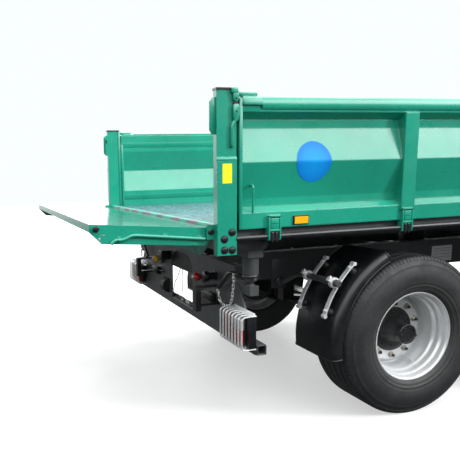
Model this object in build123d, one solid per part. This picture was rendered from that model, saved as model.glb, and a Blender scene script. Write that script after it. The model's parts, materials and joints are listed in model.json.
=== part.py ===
"""Tandem-axle three-way tipper trailer, standing on its wheels and its drawbar jack, with the tailgate let down.

Lengths are millimetres. +X points forward to the drawbar, +Y to the left and +Z up. The drawing datum is the rear
face of the rear corner posts, on the centre line and on the ground; write() moves every piece so that the file's
origin lies on the ground under the middle of the whole trailer.
"""

import os
from math import atan2, cos, degrees, hypot, radians, sin

from build123d import *

os.makedirs("parts", exist_ok=True)

# Whole vehicle
BED_LENGTH = 5000.0
BED_WIDTH = 2500.0
BED_HALF = BED_WIDTH / 2
RUNNING_GAP = 0.3
PIN_GAP = 0.05
CUT = 40.0

# Wheels: 385/65 R 22.5 on deep steel discs
WHEEL_RADIUS = 536.0
TYRE_WIDTH = 389.0
TREAD_WIDTH = 306.0
TREAD_SHOULDER_DROP = 12.0
TYRE_SIDE_RADIUS_SHARE = 0.5
GROOVE_WIDTH = 12.0
GROOVE_DEPTH = 12.0
GROOVE_COUNT = 4
TRACK = 2020.0
WHEEL_Y = TRACK / 2
RIM_SEAT_RADIUS = 286.0
RIM_WALL = 12.0
RIM_FLANGE_RADIUS = 298.5
RIM_FLANGE_THICKNESS = 10.0
RIM_WIDTH = 320.0
DISC_THICKNESS = 14.0
DISC_HOLE_RADIUS = 140.5
DISC_CONE_DEPTH = 46.0
DISC_FACE_RADIUS = 205.0
DRUM_RADIUS = 202.0
DRUM_DEPTH = 150.0
HUB_NOSE_LENGTH = 26.0
HUB_CAP_RADIUS = 65.0
HUB_CAP_LENGTH = 70.0
SPINDLE_RADIUS = 45.0
SPINDLE_END_GAP = 8.0

# Axles and springs
AXLE_SPACING = 1350.0
AXLE_GROUP_SHARE = 0.4232
REAR_AXLE_X = BED_LENGTH * AXLE_GROUP_SHARE - AXLE_SPACING / 2
AXLE_XS = {"rear": REAR_AXLE_X, "front": REAR_AXLE_X + AXLE_SPACING}
AXLE_BEAM = 120.0
BACKPLATE_RADIUS = 196.0
BACKPLATE_THICKNESS = 10.0
BACKPLATE_GAP = 6.0
SPRING_HALF_LENGTH = 500.0
SPRING_RISE = 84.0
SPRING_THICKNESS = 34.0
SPRING_PACK = 62.0
SPRING_WIDTH = 76.0
HANGER_LENGTH = 90.0
ROCKER_DEPTH = 74.0

# Chassis
RAIL_Y = 440.0
RAIL_WIDTH = 80.0
RAIL_HEIGHT = 200.0
RAIL_OVER_WHEEL_CENTRE = 314.0
RAIL_BOTTOM = WHEEL_RADIUS + RAIL_OVER_WHEEL_CENTRE
CHASSIS_TOP = RAIL_BOTTOM + RAIL_HEIGHT
CROSSBEAM_DROP = 92.5
CROSSBEAM_HEIGHT = 60.0
CROSSBEAM_LENGTH = 60.0
CROSSBEAM_TOP = CHASSIS_TOP - CROSSBEAM_DROP
INNER_BEAM_LENGTH = 90.0
INNER_BEAM_HEIGHT = 130.0

# Ball supports under the four corners of the bed
PLATE_X = 275.0
PLATE_THICKNESS = 8.0
PIVOT_X = PLATE_X + PLATE_THICKNESS + CROSSBEAM_LENGTH / 2
PIVOT_INSET = 200.0
PIVOT_Y = BED_HALF - PIVOT_INSET
PIVOT_DROP = 50.0
PIVOT_Z = CHASSIS_TOP - PIVOT_DROP
BALL_RADIUS = 34.0
BALL_STEM_RADIUS = 13.0
BALL_FOOT_RADIUS = 24.0
BALL_FOOT_HEIGHT = 6.0
SOCKET_WALL = 14.0
SOCKET_RADIUS = BALL_RADIUS + RUNNING_GAP + SOCKET_WALL
LOCK_PIN_RADIUS = 10.0
LOCK_PIN_PROUD = 12.0

# Rear plate, lamps and buffer tube
PLATE_INSET = 70.0
PLATE_HALF = BED_HALF - PLATE_INSET
PLATE_RISE = 6.0
PLATE_TOP = CHASSIS_TOP + PLATE_RISE
PLATE_HEIGHT = 496.0
PLATE_BOTTOM = PLATE_TOP - PLATE_HEIGHT
BAND_HEIGHT = 218.0
PLATE_BAND_TOP = PLATE_BOTTOM + BAND_HEIGHT
# outline above the band as (share of the half width, share of the height from the band to the top)
PLATE_SLOPE_SHARES = [(0.960, 0.0), (0.912, 0.05), (0.826, 0.54), (0.773, 0.70)]
PLATE_SLOPE = [
    (PLATE_HALF * across, PLATE_BAND_TOP + (PLATE_TOP - PLATE_BAND_TOP) * up) for across, up in PLATE_SLOPE_SHARES
]
PLATE_FLANGE = 44.0
WINDOW_SILL = 50.0
WINDOW_BOTTOM = PLATE_BOTTOM + WINDOW_SILL
WINDOW_NECK_DROP = 32.0
WINDOW_NECK_TOP = PLATE_TOP - WINDOW_NECK_DROP
WINDOW_NECK_HEIGHT = 84.0
WINDOW_TOP = WINDOW_NECK_TOP - WINDOW_NECK_HEIGHT
WINDOW_HALF = 220.0
WINDOW_NECK_HALF = 115.0
BUFFER_TUBE = 60.0
BUFFER_WALL = 5.0
BUFFER_OVERHANG = 15.0
BUFFER_HALF = PLATE_HALF + BUFFER_OVERHANG
LAMP_OVERHANG = 10.0
LAMP_LENGTH = 278.0
LAMP_OUTER_Y = PLATE_HALF + LAMP_OVERHANG
LAMP_INNER_Y = LAMP_OUTER_Y - LAMP_LENGTH
LAMP_LIFT = 65.0
LAMP_BOTTOM = PLATE_BOTTOM + LAMP_LIFT
LAMP_TOP = PLATE_BAND_TOP
LAMP_DEPTH = 58.0
LAMP_FOOT = 24.0
GUARD_BARS = 8
GUARD_BAR_WIDTH = 16.0
GUARD_BAR_THICKNESS = 5.0
GUARD_GAP = 12.0
GUARD_RAIL_HEIGHT = 16.0
GUARD_OVERHANG = 10.0
C_FRAME_INSET = 570.0
C_FRAME_Y = BED_HALF - C_FRAME_INSET
C_FRAME_WIDTH = 40.0
C_FRAME_DROP = 160.0
C_FRAME_TOP = PLATE_TOP - C_FRAME_DROP
C_FRAME_HEIGHT = 136.0
C_FRAME_BOTTOM = C_FRAME_TOP - C_FRAME_HEIGHT
C_FRAME_DEPTH = 170.0
C_FRAME_BAR = 14.0
C_FRAME_PAD = 36.0
C_FRAME_PAD_DROP = 34.0
COUPLING_RADIUS = 30.0
COUPLING_LENGTH = 74.0
# brake and cable connections as (y, z), each z below the top of the plate
RED_COUPLING_INSET, RED_COUPLING_DROP = 198.0, 141.0
RED_COUPLING_Y = RED_COUPLING_INSET - C_FRAME_Y
YELLOW_COUPLING_OFFSET, YELLOW_COUPLING_DROP = 181.0, 134.0
YELLOW_COUPLING_Y = WINDOW_HALF + YELLOW_COUPLING_OFFSET
NEAR_SOCKET_INSET, NEAR_SOCKET_DROP = 88.0, 112.0
NEAR_SOCKET_Y = NEAR_SOCKET_INSET - C_FRAME_Y
FAR_SOCKET_OFFSET, FAR_SOCKET_DROP = 80.0, 94.0
FAR_SOCKET_Y = WINDOW_HALF + FAR_SOCKET_OFFSET
RED_COUPLING = (RED_COUPLING_Y, PLATE_TOP - RED_COUPLING_DROP)
YELLOW_COUPLING = (YELLOW_COUPLING_Y, PLATE_TOP - YELLOW_COUPLING_DROP)
SOCKETS = [(NEAR_SOCKET_Y, PLATE_TOP - NEAR_SOCKET_DROP), (FAR_SOCKET_Y, PLATE_TOP - FAR_SOCKET_DROP)]
CABLE_SOCKET_RADIUS = 32.0
CABLE_SOCKET_LENGTH = 46.0
BUMPER_Y = 330.0
BUMPER_LIFT = 139.0
BUMPER_PLACE = (BUMPER_Y, PLATE_BOTTOM + BUMPER_LIFT)
BUMPER_RADIUS = 60.0
BUMPER_WIDTH = 80.0

# Mudguards, angles about the wheel centre from level ahead over the top
GUARD_RADIUS = 652.0
MUDGUARD_THICKNESS = 5.0
MUDGUARD_INNER_REACH = 230.0
MUDGUARD_OUTER_REACH = 205.0
MUDGUARD_INNER_Y = WHEEL_Y - MUDGUARD_INNER_REACH
MUDGUARD_OUTER_Y = WHEEL_Y + MUDGUARD_OUTER_REACH
MUDGUARD_LIP = 34.0
MUDGUARD_START_ANGLE = 116.0
MUDGUARD_END_ANGLE = 187.0
BRACKET_ANGLE = 146.0
BRACKET_REACH = 70.0
BRACKET_TUBE_RADIUS = 21.0
BRACKET_RING_RADIUS = 34.0
BRACKET_RING_WIDTH = 26.0
BRACKET_INNER_REACH = 151.0
BRACKET_OUTER_REACH = 120.0
BRACKET_YS = [WHEEL_Y - BRACKET_INNER_REACH, WHEEL_Y + BRACKET_OUTER_REACH]
BRACKET_TUBE_END = 22.0
STRAP_HALF_ANGLE = 13.0
STRAP_WIDTH = 40.0

# Drawbar, tow eye, jack and air tank
CHASSIS_FRONT = BED_LENGTH - PIVOT_X + CROSSBEAM_LENGTH / 2
DRAWBAR_LENGTH = 1533.0
DRAWBAR_HEAD_X = CHASSIS_FRONT + DRAWBAR_LENGTH
DRAWBAR_HEAD_HALF = 100.0
DRAWBAR_HEAD_LENGTH = 150.0
DRAWBAR_HEIGHT = 160.0
DRAWBAR_BEAM_WIDTH = 84.0
DRAWBAR_DROP = 20.0
DRAWBAR_TOP = CHASSIS_TOP - DRAWBAR_DROP
EYE_PLATE_THICKNESS = 25.0
EYE_SHANK = 90.0
EYE_HOLE_RADIUS = 20.0
EYE_RING_RADIUS = 56.0
EYE_THICKNESS = 42.0
JACK_SETBACK = 500.0
JACK_X = DRAWBAR_HEAD_X - JACK_SETBACK
JACK_TUBE = 90.0
JACK_INNER_TUBE = 70.0
JACK_TUBE_LENGTH = 600.0
JACK_TUBE_BOTTOM = DRAWBAR_TOP - JACK_TUBE_LENGTH
JACK_TOP_RISE = 60.0
JACK_FOOT = 260.0
JACK_FOOT_THICKNESS = 12.0
JACK_BRIDGE_LENGTH = 150.0
JACK_BRIDGE_HEIGHT = 70.0
TANK_SETBACK = 767.0
TANK_X = CHASSIS_FRONT - TANK_SETBACK
TANK_RADIUS = 120.0
TANK_HALF_LENGTH = 310.0
TANK_TOP_GAP = 12.0
TANK_STRAP_WIDTH = 40.0
TANK_STRAP_Y = 180.0

# Bed frame and floor
BED_GAP = 80.0
BED_RAIL_HEIGHT = 126.0
BED_RAIL_WIDTH = 80.0
BED_RAIL_BOTTOM = CHASSIS_TOP + BED_GAP
CROSS_HEIGHT = 70.0
CROSS_BOTTOM = BED_RAIL_BOTTOM + BED_RAIL_HEIGHT
FLOOR_THICKNESS = 10.0
FLOOR_BOTTOM = CROSS_BOTTOM + CROSS_HEIGHT
DECK_TOP = FLOOR_BOTTOM + FLOOR_THICKNESS
FLOOR_REAR_X = 12.0
FLOOR_SIDE_GAP = 5.0
SILL_WIDTH = 60.0
POST_DEPTH = 40.0
POST_INNER_Y = BED_HALF - POST_DEPTH
SILL_OUTER_Y = POST_INNER_Y
FLOOR_HALF = SILL_OUTER_Y - FLOOR_SIDE_GAP
END_SILL_LENGTH = 90.0
END_SILL_INSET = 20.0
END_SILL_DROP = 120.0
CROSS_WIDTH = 60.0
CROSS_COUNT = 9
PIVOT_BEAM_LENGTH = 100.0
PIVOT_BEAM_OVERHANG = 60.0
PIVOT_BEAM_HALF = PIVOT_Y + PIVOT_BEAM_OVERHANG

# Corner posts and headboard
POST_LENGTH = 115.0
POST_DROP = 154.0
POST_BOTTOM = DECK_TOP - POST_DROP
POST_RISE = 716.0
POST_TOP = DECK_TOP + POST_RISE
SLEEVE_TOP_SHARE = 0.494
POST_SLEEVE_TOP = DECK_TOP + POST_RISE * SLEEVE_TOP_SHARE
POST_SLEEVE_PROUD = 8.0
POST_CAP_HEIGHT = 12.0
POST_CAP_OVERHANG = 3.0
EAR_THICKNESS = 10.0
EAR_REACH = 34.0
EAR_DROP = 35.0
EAR_TOP = POST_TOP - EAR_DROP
EAR_HEIGHT = 187.0
EAR_BOTTOM = EAR_TOP - EAR_HEIGHT
EAR_CHAMFER = 22.0
HINGE_EAR_DROP = 66.0
HINGE_EAR_HEIGHT = 82.0
HINGE_EAR_BOTTOM = DECK_TOP - HINGE_EAR_DROP
HINGE_EAR_TOP = HINGE_EAR_BOTTOM + HINGE_EAR_HEIGHT
HINGE_EAR_REACH = 46.0
HEADBOARD_THICKNESS = 45.0
HEADBOARD_SKIN = 6.0
HEADBOARD_RAIL = 70.0
HEADBOARD_RIB_WIDTH = 80.0
HEADBOARD_RIBS = 3
GUSSET_LENGTH = 210.0
GUSSET_HEIGHT = 50.0
GUSSET_THICKNESS = 10.0
GUSSET_INSET = 100.0
GUSSET_Y = BED_HALF - GUSSET_INSET
LEVER_THICKNESS = 8.0
LEVER_WIDTH = 20.0
# latch lever on the post's outer face as (share of the post's length, drop below the post's top)
LEVER_TOP_DROP, LEVER_PIVOT_DROP, LEVER_BEND_DROP, LEVER_END_DROP = 12.0, 67.0, 137.0, 288.0
LEVER_SHARES_ALONG = [0.86, 0.85, 0.83, 0.66]
LEVER_LINE = [
    (POST_LENGTH * share, POST_TOP - drop)
    for share, drop in zip(LEVER_SHARES_ALONG, [LEVER_TOP_DROP, LEVER_PIVOT_DROP, LEVER_BEND_DROP, LEVER_END_DROP])
]

# Side boards: pressed sheet between a top and a bottom rail
BOARD_END_GAP = 15.0
BOARD_SKIN = 5.0
BOARD_RECESS = 45.0
BOARD_TOP_DROP = 39.0
BOARD_TOP = POST_TOP - BOARD_TOP_DROP
BOARD_BOTTOM_DROP = 18.0
BOARD_BOTTOM = DECK_TOP - BOARD_BOTTOM_DROP
BOARD_HEIGHT = BOARD_TOP - BOARD_BOTTOM
TOP_RAIL_HEIGHT = 71.0
TOP_RAIL_DEPTH = 55.0
BOTTOM_RAIL_HEIGHT = 90.0
BOTTOM_RAIL_DEPTH = 40.0
# heights of the pressed bends, as shares of the sheet between the two rails
BEND_UNDER_RAIL_SHARE = 0.931
BEND_UPPER_SHARE = 0.845
BEND_RIDGE_SHARE = 0.506
BEND_LOWER_SHARE = 0.139
BEND_LEDGE_SHARE = 0.060
STIFFENER_WIDTH = 96.0
STIFFENER_PROUD = 12.0
STIFFENER_LIFT = 62.0
STIFFENER_BOTTOM = BOARD_BOTTOM + STIFFENER_LIFT
STIFFENER_TOP_DROP = 69.0
STIFFENER_TOP = BOARD_TOP - STIFFENER_TOP_DROP
STIFFENER_INNER = 7.5
STIFFENER_SHARES = [0.2486, 0.5, 0.7514]
STIFFENER_XS = [BED_LENGTH * share for share in STIFFENER_SHARES]
END_BRACKET_LENGTH = 121.0
END_BRACKET_PROUD = 4.0
HINGE_Y = BED_HALF
HINGE_DROP = 66.0
HINGE_Z = DECK_TOP - HINGE_DROP
HINGE_ROD_RADIUS = 14.0
CLAW_WIDTH = 78.0
CLAW_INSET = 344.0
CLAW_XS = [CLAW_INSET] + STIFFENER_XS + [BED_LENGTH - CLAW_INSET]
CLAW_DROP = 20.0
CLAW_HEIGHT = 138.0
CLAW_BOTTOM = HINGE_Z - CLAW_DROP
CLAW_TOP = CLAW_BOTTOM + CLAW_HEIGHT
CLAW_WALL = 12.0
CLAW_SKIN = 5.0
LUG_WIDTH = 20.0
LUG_GAP = 6.0
MARKER_LENGTH = 86.0
MARKER_HEIGHT = 40.0
MARKER_DEPTH = 12.0
MARKER_X = 516.0
MARKER_LIFT = 36.0
MARKER_Z = BOARD_BOTTOM + MARKER_LIFT

# Tailgate, drawn closed-side up about its pin and let down on its stops
GATE_PIN_X = -20.0
GATE_PIN_DROP = 23.0
GATE_PIN_Z = DECK_TOP - GATE_PIN_DROP
GATE_REST_ANGLE = 4.5
GATE_SIDE_GAP = 7.0
GATE_HALF = POST_INNER_Y - GATE_SIDE_GAP
GATE_TOP_DROP = 27.0
GATE_HEIGHT = BOARD_TOP - GATE_PIN_Z - GATE_TOP_DROP
GATE_FACE = 22.0
GATE_DEPTH = 100.0
GATE_SKIN = 8.0
GATE_END_PLATE = 10.0
GATE_TIP_DEPTH = 40.0
GATE_CHAMFER = 70.0
GATE_RAIL = 60.0
GATE_RIB_WIDTH = 60.0
GATE_RIB_DEPTH = 60.0
GATE_RIBS = 4
GATE_LATCH_INSET = 32.0
GATE_LATCH_U = GATE_HEIGHT - GATE_LATCH_INSET
GATE_PIN_RADIUS = 12.0
GATE_PIN_PROUD = 17.0
GATE_LATCH_CLEARANCE = 3.6
GATE_CAP_RADIUS = 18.0
GATE_CAP_THICKNESS = 3.0
GATE_FOOT = 24.0

# Telescopic hoist
HOIST_X = BED_LENGTH / 2
TRUNNION_LIFT = 50.0
TRUNNION_Z = RAIL_BOTTOM + TRUNNION_LIFT
HOIST_HEAD_DROP = 76.0
HOIST_HEAD_Z = CROSS_BOTTOM - HOIST_HEAD_DROP
BARREL_RADIUS = 105.0
BARREL_WALL = 8.0
BARREL_DEPTH = 310.0
BARREL_BOTTOM = TRUNNION_Z - BARREL_DEPTH
BARREL_NECK = 72.0
BARREL_TOP = HOIST_HEAD_Z - BARREL_NECK
STAGE_WALL = 13.0
STAGE_COUNT = 4
STAGE_STEP = 4.0
HEAD_BALL_RADIUS = 45.0
HEAD_NECK_RADIUS = 24.0
HEAD_GAP = 2.5
HEAD_CUP_WALL = 14.0
TRUNNION_RADIUS = 25.0
BEARING_Y = 170.0
BEARING_THICKNESS = 24.0
BEARING_HALF_HEIGHT = 60.0
CRADLE_BEAM_X = 190.0
TIP_ANGLE = 50.0

# Ends of the whole trailer and the shift to its middle
FRONT_TIP = DRAWBAR_HEAD_X + DRAWBAR_HEAD_LENGTH + EYE_PLATE_THICKNESS + EYE_SHANK + EYE_RING_RADIUS
GATE_TIP_X = GATE_PIN_X - GATE_HEIGHT * cos(radians(GATE_REST_ANGLE)) + min(
    GATE_FACE * sin(radians(GATE_REST_ANGLE)), (GATE_FACE - GATE_TIP_DEPTH) * sin(radians(GATE_REST_ANGLE))
)
MIDDLE_X = (FRONT_TIP + GATE_TIP_X) / 2


def slab(x, y, z):
    """A box between two limits along each axis."""
    return Pos((x[0] + x[1]) / 2, (y[0] + y[1]) / 2, (z[0] + z[1]) / 2) * Box(x[1] - x[0], y[1] - y[0], z[1] - z[0])


def rod_x(y, z, radius, x):
    return Pos((x[0] + x[1]) / 2, y, z) * Rot(0, 90, 0) * Cylinder(radius, x[1] - x[0])


def rod_y(x, z, radius, y):
    return Pos(x, (y[0] + y[1]) / 2, z) * Rot(90, 0, 0) * Cylinder(radius, y[1] - y[0])


def rod_z(x, y, radius, z):
    return Pos(x, y, (z[0] + z[1]) / 2) * Cylinder(radius, z[1] - z[0])


def prism_y(points, y):
    """An outline of (x, z) points drawn out between two values of Y."""
    face = Plane((0, y[0], 0), x_dir=(1, 0, 0), z_dir=(0, -1, 0)) * make_face(Polyline(*points, close=True))
    return extrude(face, amount=y[1] - y[0], dir=(0, 1, 0))


def prism_x(points, x):
    """An outline of (y, z) points drawn out between two values of X."""
    face = Plane((x[0], 0, 0), x_dir=(0, 1, 0), z_dir=(1, 0, 0)) * make_face(Polyline(*points, close=True))
    return extrude(face, amount=x[1] - x[0], dir=(1, 0, 0))


def prism_z(points, z):
    """An outline of (x, y) points drawn out between two values of Z."""
    face = Plane((0, 0, z[0])) * make_face(Polyline(*points, close=True))
    return extrude(face, amount=z[1] - z[0], dir=(0, 0, 1))


def mirrored_y(shape):
    return mirror(shape, about=Plane.XZ)


def both_sides(shape):
    return shape + mirrored_y(shape)


def turned(outline):
    """A ring about the wheel's axis from (radius, offset outwards) points."""
    return revolve(make_face(Polyline(*outline, close=True)), axis=Axis.Y)


def spread(count, low, high):
    """Evenly spaced places between two limits, both included."""
    return [low + (high - low) * step / (count - 1) for step in range(count)]


def write(name, shape):
    """One file for each piece, moved so that the origin lies under the middle of the trailer."""
    placed = Pos(-MIDDLE_X, 0, 0) * shape
    placed.label = name
    export_step(placed, f"parts/{name}.step")


# Wheels


def tyre():
    half = TYRE_WIDTH / 2
    crown = TREAD_WIDTH / 2
    bulge_radius = RIM_SEAT_RADIUS + (WHEEL_RADIUS - RIM_SEAT_RADIUS) * TYRE_SIDE_RADIUS_SHARE
    bead = RIM_WIDTH / 2 - RIM_FLANGE_THICKNESS - RUNNING_GAP
    seat = RIM_SEAT_RADIUS + RUNNING_GAP
    shoulder = WHEEL_RADIUS - TREAD_SHOULDER_DROP
    clip = RIM_FLANGE_RADIUS + RUNNING_GAP
    outline = [
        Line((seat, -bead), (seat, bead)),
        Line((seat, bead), (clip, bead)),
        ThreePointArc((clip, bead), (bulge_radius, half), (shoulder, crown)),
        Line((shoulder, crown), (WHEEL_RADIUS, crown - TREAD_SHOULDER_DROP)),
        Line((WHEEL_RADIUS, crown - TREAD_SHOULDER_DROP), (WHEEL_RADIUS, TREAD_SHOULDER_DROP - crown)),
        Line((WHEEL_RADIUS, TREAD_SHOULDER_DROP - crown), (shoulder, -crown)),
        ThreePointArc((shoulder, -crown), (bulge_radius, -half), (clip, -bead)),
        Line((clip, -bead), (seat, -bead)),
    ]
    body = revolve(make_face(outline), axis=Axis.Y)
    for place in spread(GROOVE_COUNT + 2, -crown, crown)[1:-1]:
        low, high = place - GROOVE_WIDTH / 2, place + GROOVE_WIDTH / 2
        deep, out = WHEEL_RADIUS - GROOVE_DEPTH, WHEEL_RADIUS + CUT
        body -= turned([(deep, low), (out, low), (out, high), (deep, high)])
    return body


def rim():
    """Barrel with two flanges, and the disc set deep behind the outer flange."""
    half = RIM_WIDTH / 2
    bore = RIM_SEAT_RADIUS - RIM_WALL
    flange = half - RIM_FLANGE_THICKNESS
    face = DISC_THICKNESS
    barrel = turned(
        [
            (bore, -half),
            (RIM_FLANGE_RADIUS, -half),
            (RIM_FLANGE_RADIUS, -flange),
            (RIM_SEAT_RADIUS, -flange),
            (RIM_SEAT_RADIUS, flange),
            (RIM_FLANGE_RADIUS, flange),
            (RIM_FLANGE_RADIUS, half),
            (bore, half),
        ]
    )
    disc = turned(
        [
            (DISC_HOLE_RADIUS, 0),
            (DISC_FACE_RADIUS, 0),
            (bore, -DISC_CONE_DEPTH),
            (bore, face - DISC_CONE_DEPTH),
            (DISC_FACE_RADIUS, face),
            (DISC_HOLE_RADIUS, face),
        ]
    )
    return barrel + disc


def hub():
    """Brake drum behind the disc, nose through it and cap in front, bored for the spindle."""
    nose = DISC_HOLE_RADIUS - RUNNING_GAP
    nose_end = DISC_THICKNESS + HUB_NOSE_LENGTH
    bore = SPINDLE_RADIUS + PIN_GAP
    return turned(
        [
            (bore, -DRUM_DEPTH),
            (DRUM_RADIUS, -DRUM_DEPTH),
            (DRUM_RADIUS, 0),
            (nose, 0),
            (nose, nose_end),
            (HUB_CAP_RADIUS, nose_end),
            (HUB_CAP_RADIUS, nose_end + HUB_CAP_LENGTH),
            (0, nose_end + HUB_CAP_LENGTH),
            (0, nose_end),
            (bore, nose_end),
        ]
    )


def write_wheels():
    for end, x in AXLE_XS.items():
        for side, sign in (("left", 1), ("right", -1)):
            for piece, make in (("tyre", tyre), ("rim", rim), ("hub", hub)):
                shape = make() if sign > 0 else mirrored_y(make())
                write(f"{piece}_{end}_{side}", Pos(x, sign * WHEEL_Y, WHEEL_RADIUS) * shape)


# Axles and springs


def axle(x):
    drum_inner = WHEEL_Y - DRUM_DEPTH
    plate_outer = drum_inner - BACKPLATE_GAP
    plate_inner = plate_outer - BACKPLATE_THICKNESS
    spindle_end = WHEEL_Y + DISC_THICKNESS + HUB_NOSE_LENGTH - SPINDLE_END_GAP
    half = AXLE_BEAM / 2
    beam = slab((x - half, x + half), (-plate_inner, plate_inner), (WHEEL_RADIUS - half, WHEEL_RADIUS + half))
    end = rod_y(x, WHEEL_RADIUS, BACKPLATE_RADIUS, (plate_inner, plate_outer))
    end += rod_y(x, WHEEL_RADIUS, SPINDLE_RADIUS, (plate_outer, spindle_end))
    return beam + both_sides(end)


def leaf_spring(x):
    """Leaf pack from hanger to rocker, lowest where it sits on the axle."""
    seat = WHEEL_RADIUS + AXLE_BEAM / 2
    end_low = seat + SPRING_RISE
    inner = AXLE_BEAM / 2 + HANGER_LENGTH / 2
    return [
        (x - SPRING_HALF_LENGTH, end_low),
        (x - inner, seat),
        (x + inner, seat),
        (x + SPRING_HALF_LENGTH, end_low),
        (x + SPRING_HALF_LENGTH, end_low + SPRING_THICKNESS),
        (x + inner, seat + SPRING_PACK),
        (x - inner, seat + SPRING_PACK),
        (x - SPRING_HALF_LENGTH, end_low + SPRING_THICKNESS),
    ]


def suspension():
    y = (RAIL_Y - SPRING_WIDTH / 2, RAIL_Y + SPRING_WIDTH / 2)
    end_low = WHEEL_RADIUS + AXLE_BEAM / 2 + SPRING_RISE
    end_top = end_low + SPRING_THICKNESS
    middle = (AXLE_XS["rear"] + AXLE_XS["front"]) / 2
    half = HANGER_LENGTH / 2
    group = Part()
    for x in AXLE_XS.values():
        group += prism_y(leaf_spring(x), y)
    for x in (AXLE_XS["rear"] - SPRING_HALF_LENGTH, AXLE_XS["front"] + SPRING_HALF_LENGTH):
        group += prism_y(
            [(x - half, end_low), (x + half, end_low), (x + half, RAIL_BOTTOM), (x - half, RAIL_BOTTOM)], y
        )
    reach = AXLE_SPACING / 2 - SPRING_HALF_LENGTH + half
    group += prism_y(
        [
            (middle - reach, end_low),
            (middle + reach, end_low),
            (middle + reach, end_top),
            (middle + half, end_low + ROCKER_DEPTH),
            (middle + half, RAIL_BOTTOM),
            (middle - half, RAIL_BOTTOM),
            (middle - half, end_low + ROCKER_DEPTH),
            (middle - reach, end_top),
        ],
        y,
    )
    return group


def write_running_gear():
    write("axles", axle(AXLE_XS["rear"]) + axle(AXLE_XS["front"]))
    write("springs", both_sides(suspension()))


# Chassis


def ball_support(x):
    """Ball on a short stem, on the crossbeam under one corner of the bed."""
    ball = Pos(x, PIVOT_Y, PIVOT_Z) * Sphere(BALL_RADIUS)
    stem = rod_z(x, PIVOT_Y, BALL_STEM_RADIUS, (CROSSBEAM_TOP, PIVOT_Z))
    foot = rod_z(x, PIVOT_Y, BALL_FOOT_RADIUS, (CROSSBEAM_TOP, CROSSBEAM_TOP + BALL_FOOT_HEIGHT))
    return ball + stem + foot


def lock_pin():
    """Pin through a rear ball and its seat, on the axis that the bed tips about."""
    reach = SOCKET_RADIUS + LOCK_PIN_PROUD
    return rod_y(PIVOT_X, PIVOT_Z, LOCK_PIN_RADIUS, (PIVOT_Y - reach, PIVOT_Y + reach))


def chassis_frame():
    half = RAIL_WIDTH / 2
    beam_half = CROSSBEAM_LENGTH / 2
    rear = PLATE_X + PLATE_THICKNESS
    beam_reach = PIVOT_Y + SOCKET_RADIUS
    frame = both_sides(
        slab((rear, CHASSIS_FRONT), (RAIL_Y - half, RAIL_Y + half), (RAIL_BOTTOM, CHASSIS_TOP))
    )
    for x in (PIVOT_X, BED_LENGTH - PIVOT_X):
        frame += slab(
            (x - beam_half, x + beam_half),
            (-beam_reach, beam_reach),
            (CROSSBEAM_TOP - CROSSBEAM_HEIGHT, CROSSBEAM_TOP),
        )
        frame += both_sides(ball_support(x))
    frame += both_sides(lock_pin())
    inner = RAIL_Y - half
    middle = (AXLE_XS["rear"] + AXLE_XS["front"]) / 2
    for x in (AXLE_XS["rear"] - SPRING_HALF_LENGTH, middle, AXLE_XS["front"] + SPRING_HALF_LENGTH, TANK_X):
        frame += slab(
            (x - INNER_BEAM_LENGTH / 2, x + INNER_BEAM_LENGTH / 2),
            (-inner, inner),
            (RAIL_BOTTOM, RAIL_BOTTOM + INNER_BEAM_HEIGHT),
        )
    for x in (HOIST_X - CRADLE_BEAM_X, HOIST_X + CRADLE_BEAM_X):
        frame += slab(
            (x - INNER_BEAM_LENGTH / 4, x + INNER_BEAM_LENGTH / 4),
            (-inner, inner),
            (RAIL_BOTTOM, RAIL_BOTTOM + INNER_BEAM_HEIGHT),
        )
    bearing = slab(
        (HOIST_X - CRADLE_BEAM_X, HOIST_X + CRADLE_BEAM_X),
        (BEARING_Y - BEARING_THICKNESS / 2, BEARING_Y + BEARING_THICKNESS / 2),
        (RAIL_BOTTOM, TRUNNION_Z + BEARING_HALF_HEIGHT),
    )
    bearing -= rod_y(
        HOIST_X, TRUNNION_Z, TRUNNION_RADIUS + PIN_GAP, (BEARING_Y - BEARING_THICKNESS, BEARING_Y + BEARING_THICKNESS)
    )
    return frame + both_sides(bearing)


def rear_plate():
    """Sheet across the rear with sloped shoulders, a window and flanges folded forward along its edges."""
    side = [(PLATE_HALF, PLATE_BOTTOM), (PLATE_HALF, PLATE_BAND_TOP)] + PLATE_SLOPE
    side.append((PLATE_SLOPE[-1][0], PLATE_TOP))
    outline = side + [(-y, z) for y, z in reversed(side)]
    sheet = prism_x(outline, (PLATE_X, PLATE_X + PLATE_THICKNESS))
    opening = [
        (WINDOW_HALF, WINDOW_BOTTOM),
        (WINDOW_HALF, WINDOW_TOP),
        (WINDOW_NECK_HALF, WINDOW_NECK_TOP),
    ]
    opening += [(-y, z) for y, z in reversed(opening)]
    sheet -= prism_x(opening, (PLATE_X - CUT, PLATE_X + PLATE_THICKNESS + CUT))
    front = PLATE_X + PLATE_THICKNESS
    half = RAIL_WIDTH / 2
    flange = slab(
        (PLATE_X, front + PLATE_FLANGE),
        (-PLATE_SLOPE[-1][0], PLATE_SLOPE[-1][0]),
        (PLATE_TOP - PLATE_THICKNESS, PLATE_TOP),
    )
    rail_space = slab(
        (front, front + CUT + PLATE_FLANGE), (RAIL_Y - half, RAIL_Y + half), (RAIL_BOTTOM, PLATE_TOP + CUT)
    )
    return sheet + (flange - both_sides(rail_space))


def buffer_tube():
    front = PLATE_X + PLATE_THICKNESS
    top = PLATE_BOTTOM + BUFFER_TUBE
    wall = BUFFER_WALL
    tube = slab((front, front + BUFFER_TUBE), (-BUFFER_HALF, BUFFER_HALF), (PLATE_BOTTOM, top))
    return tube - slab(
        (front + wall, front + BUFFER_TUBE - wall),
        (-BUFFER_HALF - CUT, BUFFER_HALF + CUT),
        (PLATE_BOTTOM + wall, top - wall),
    )


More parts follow.
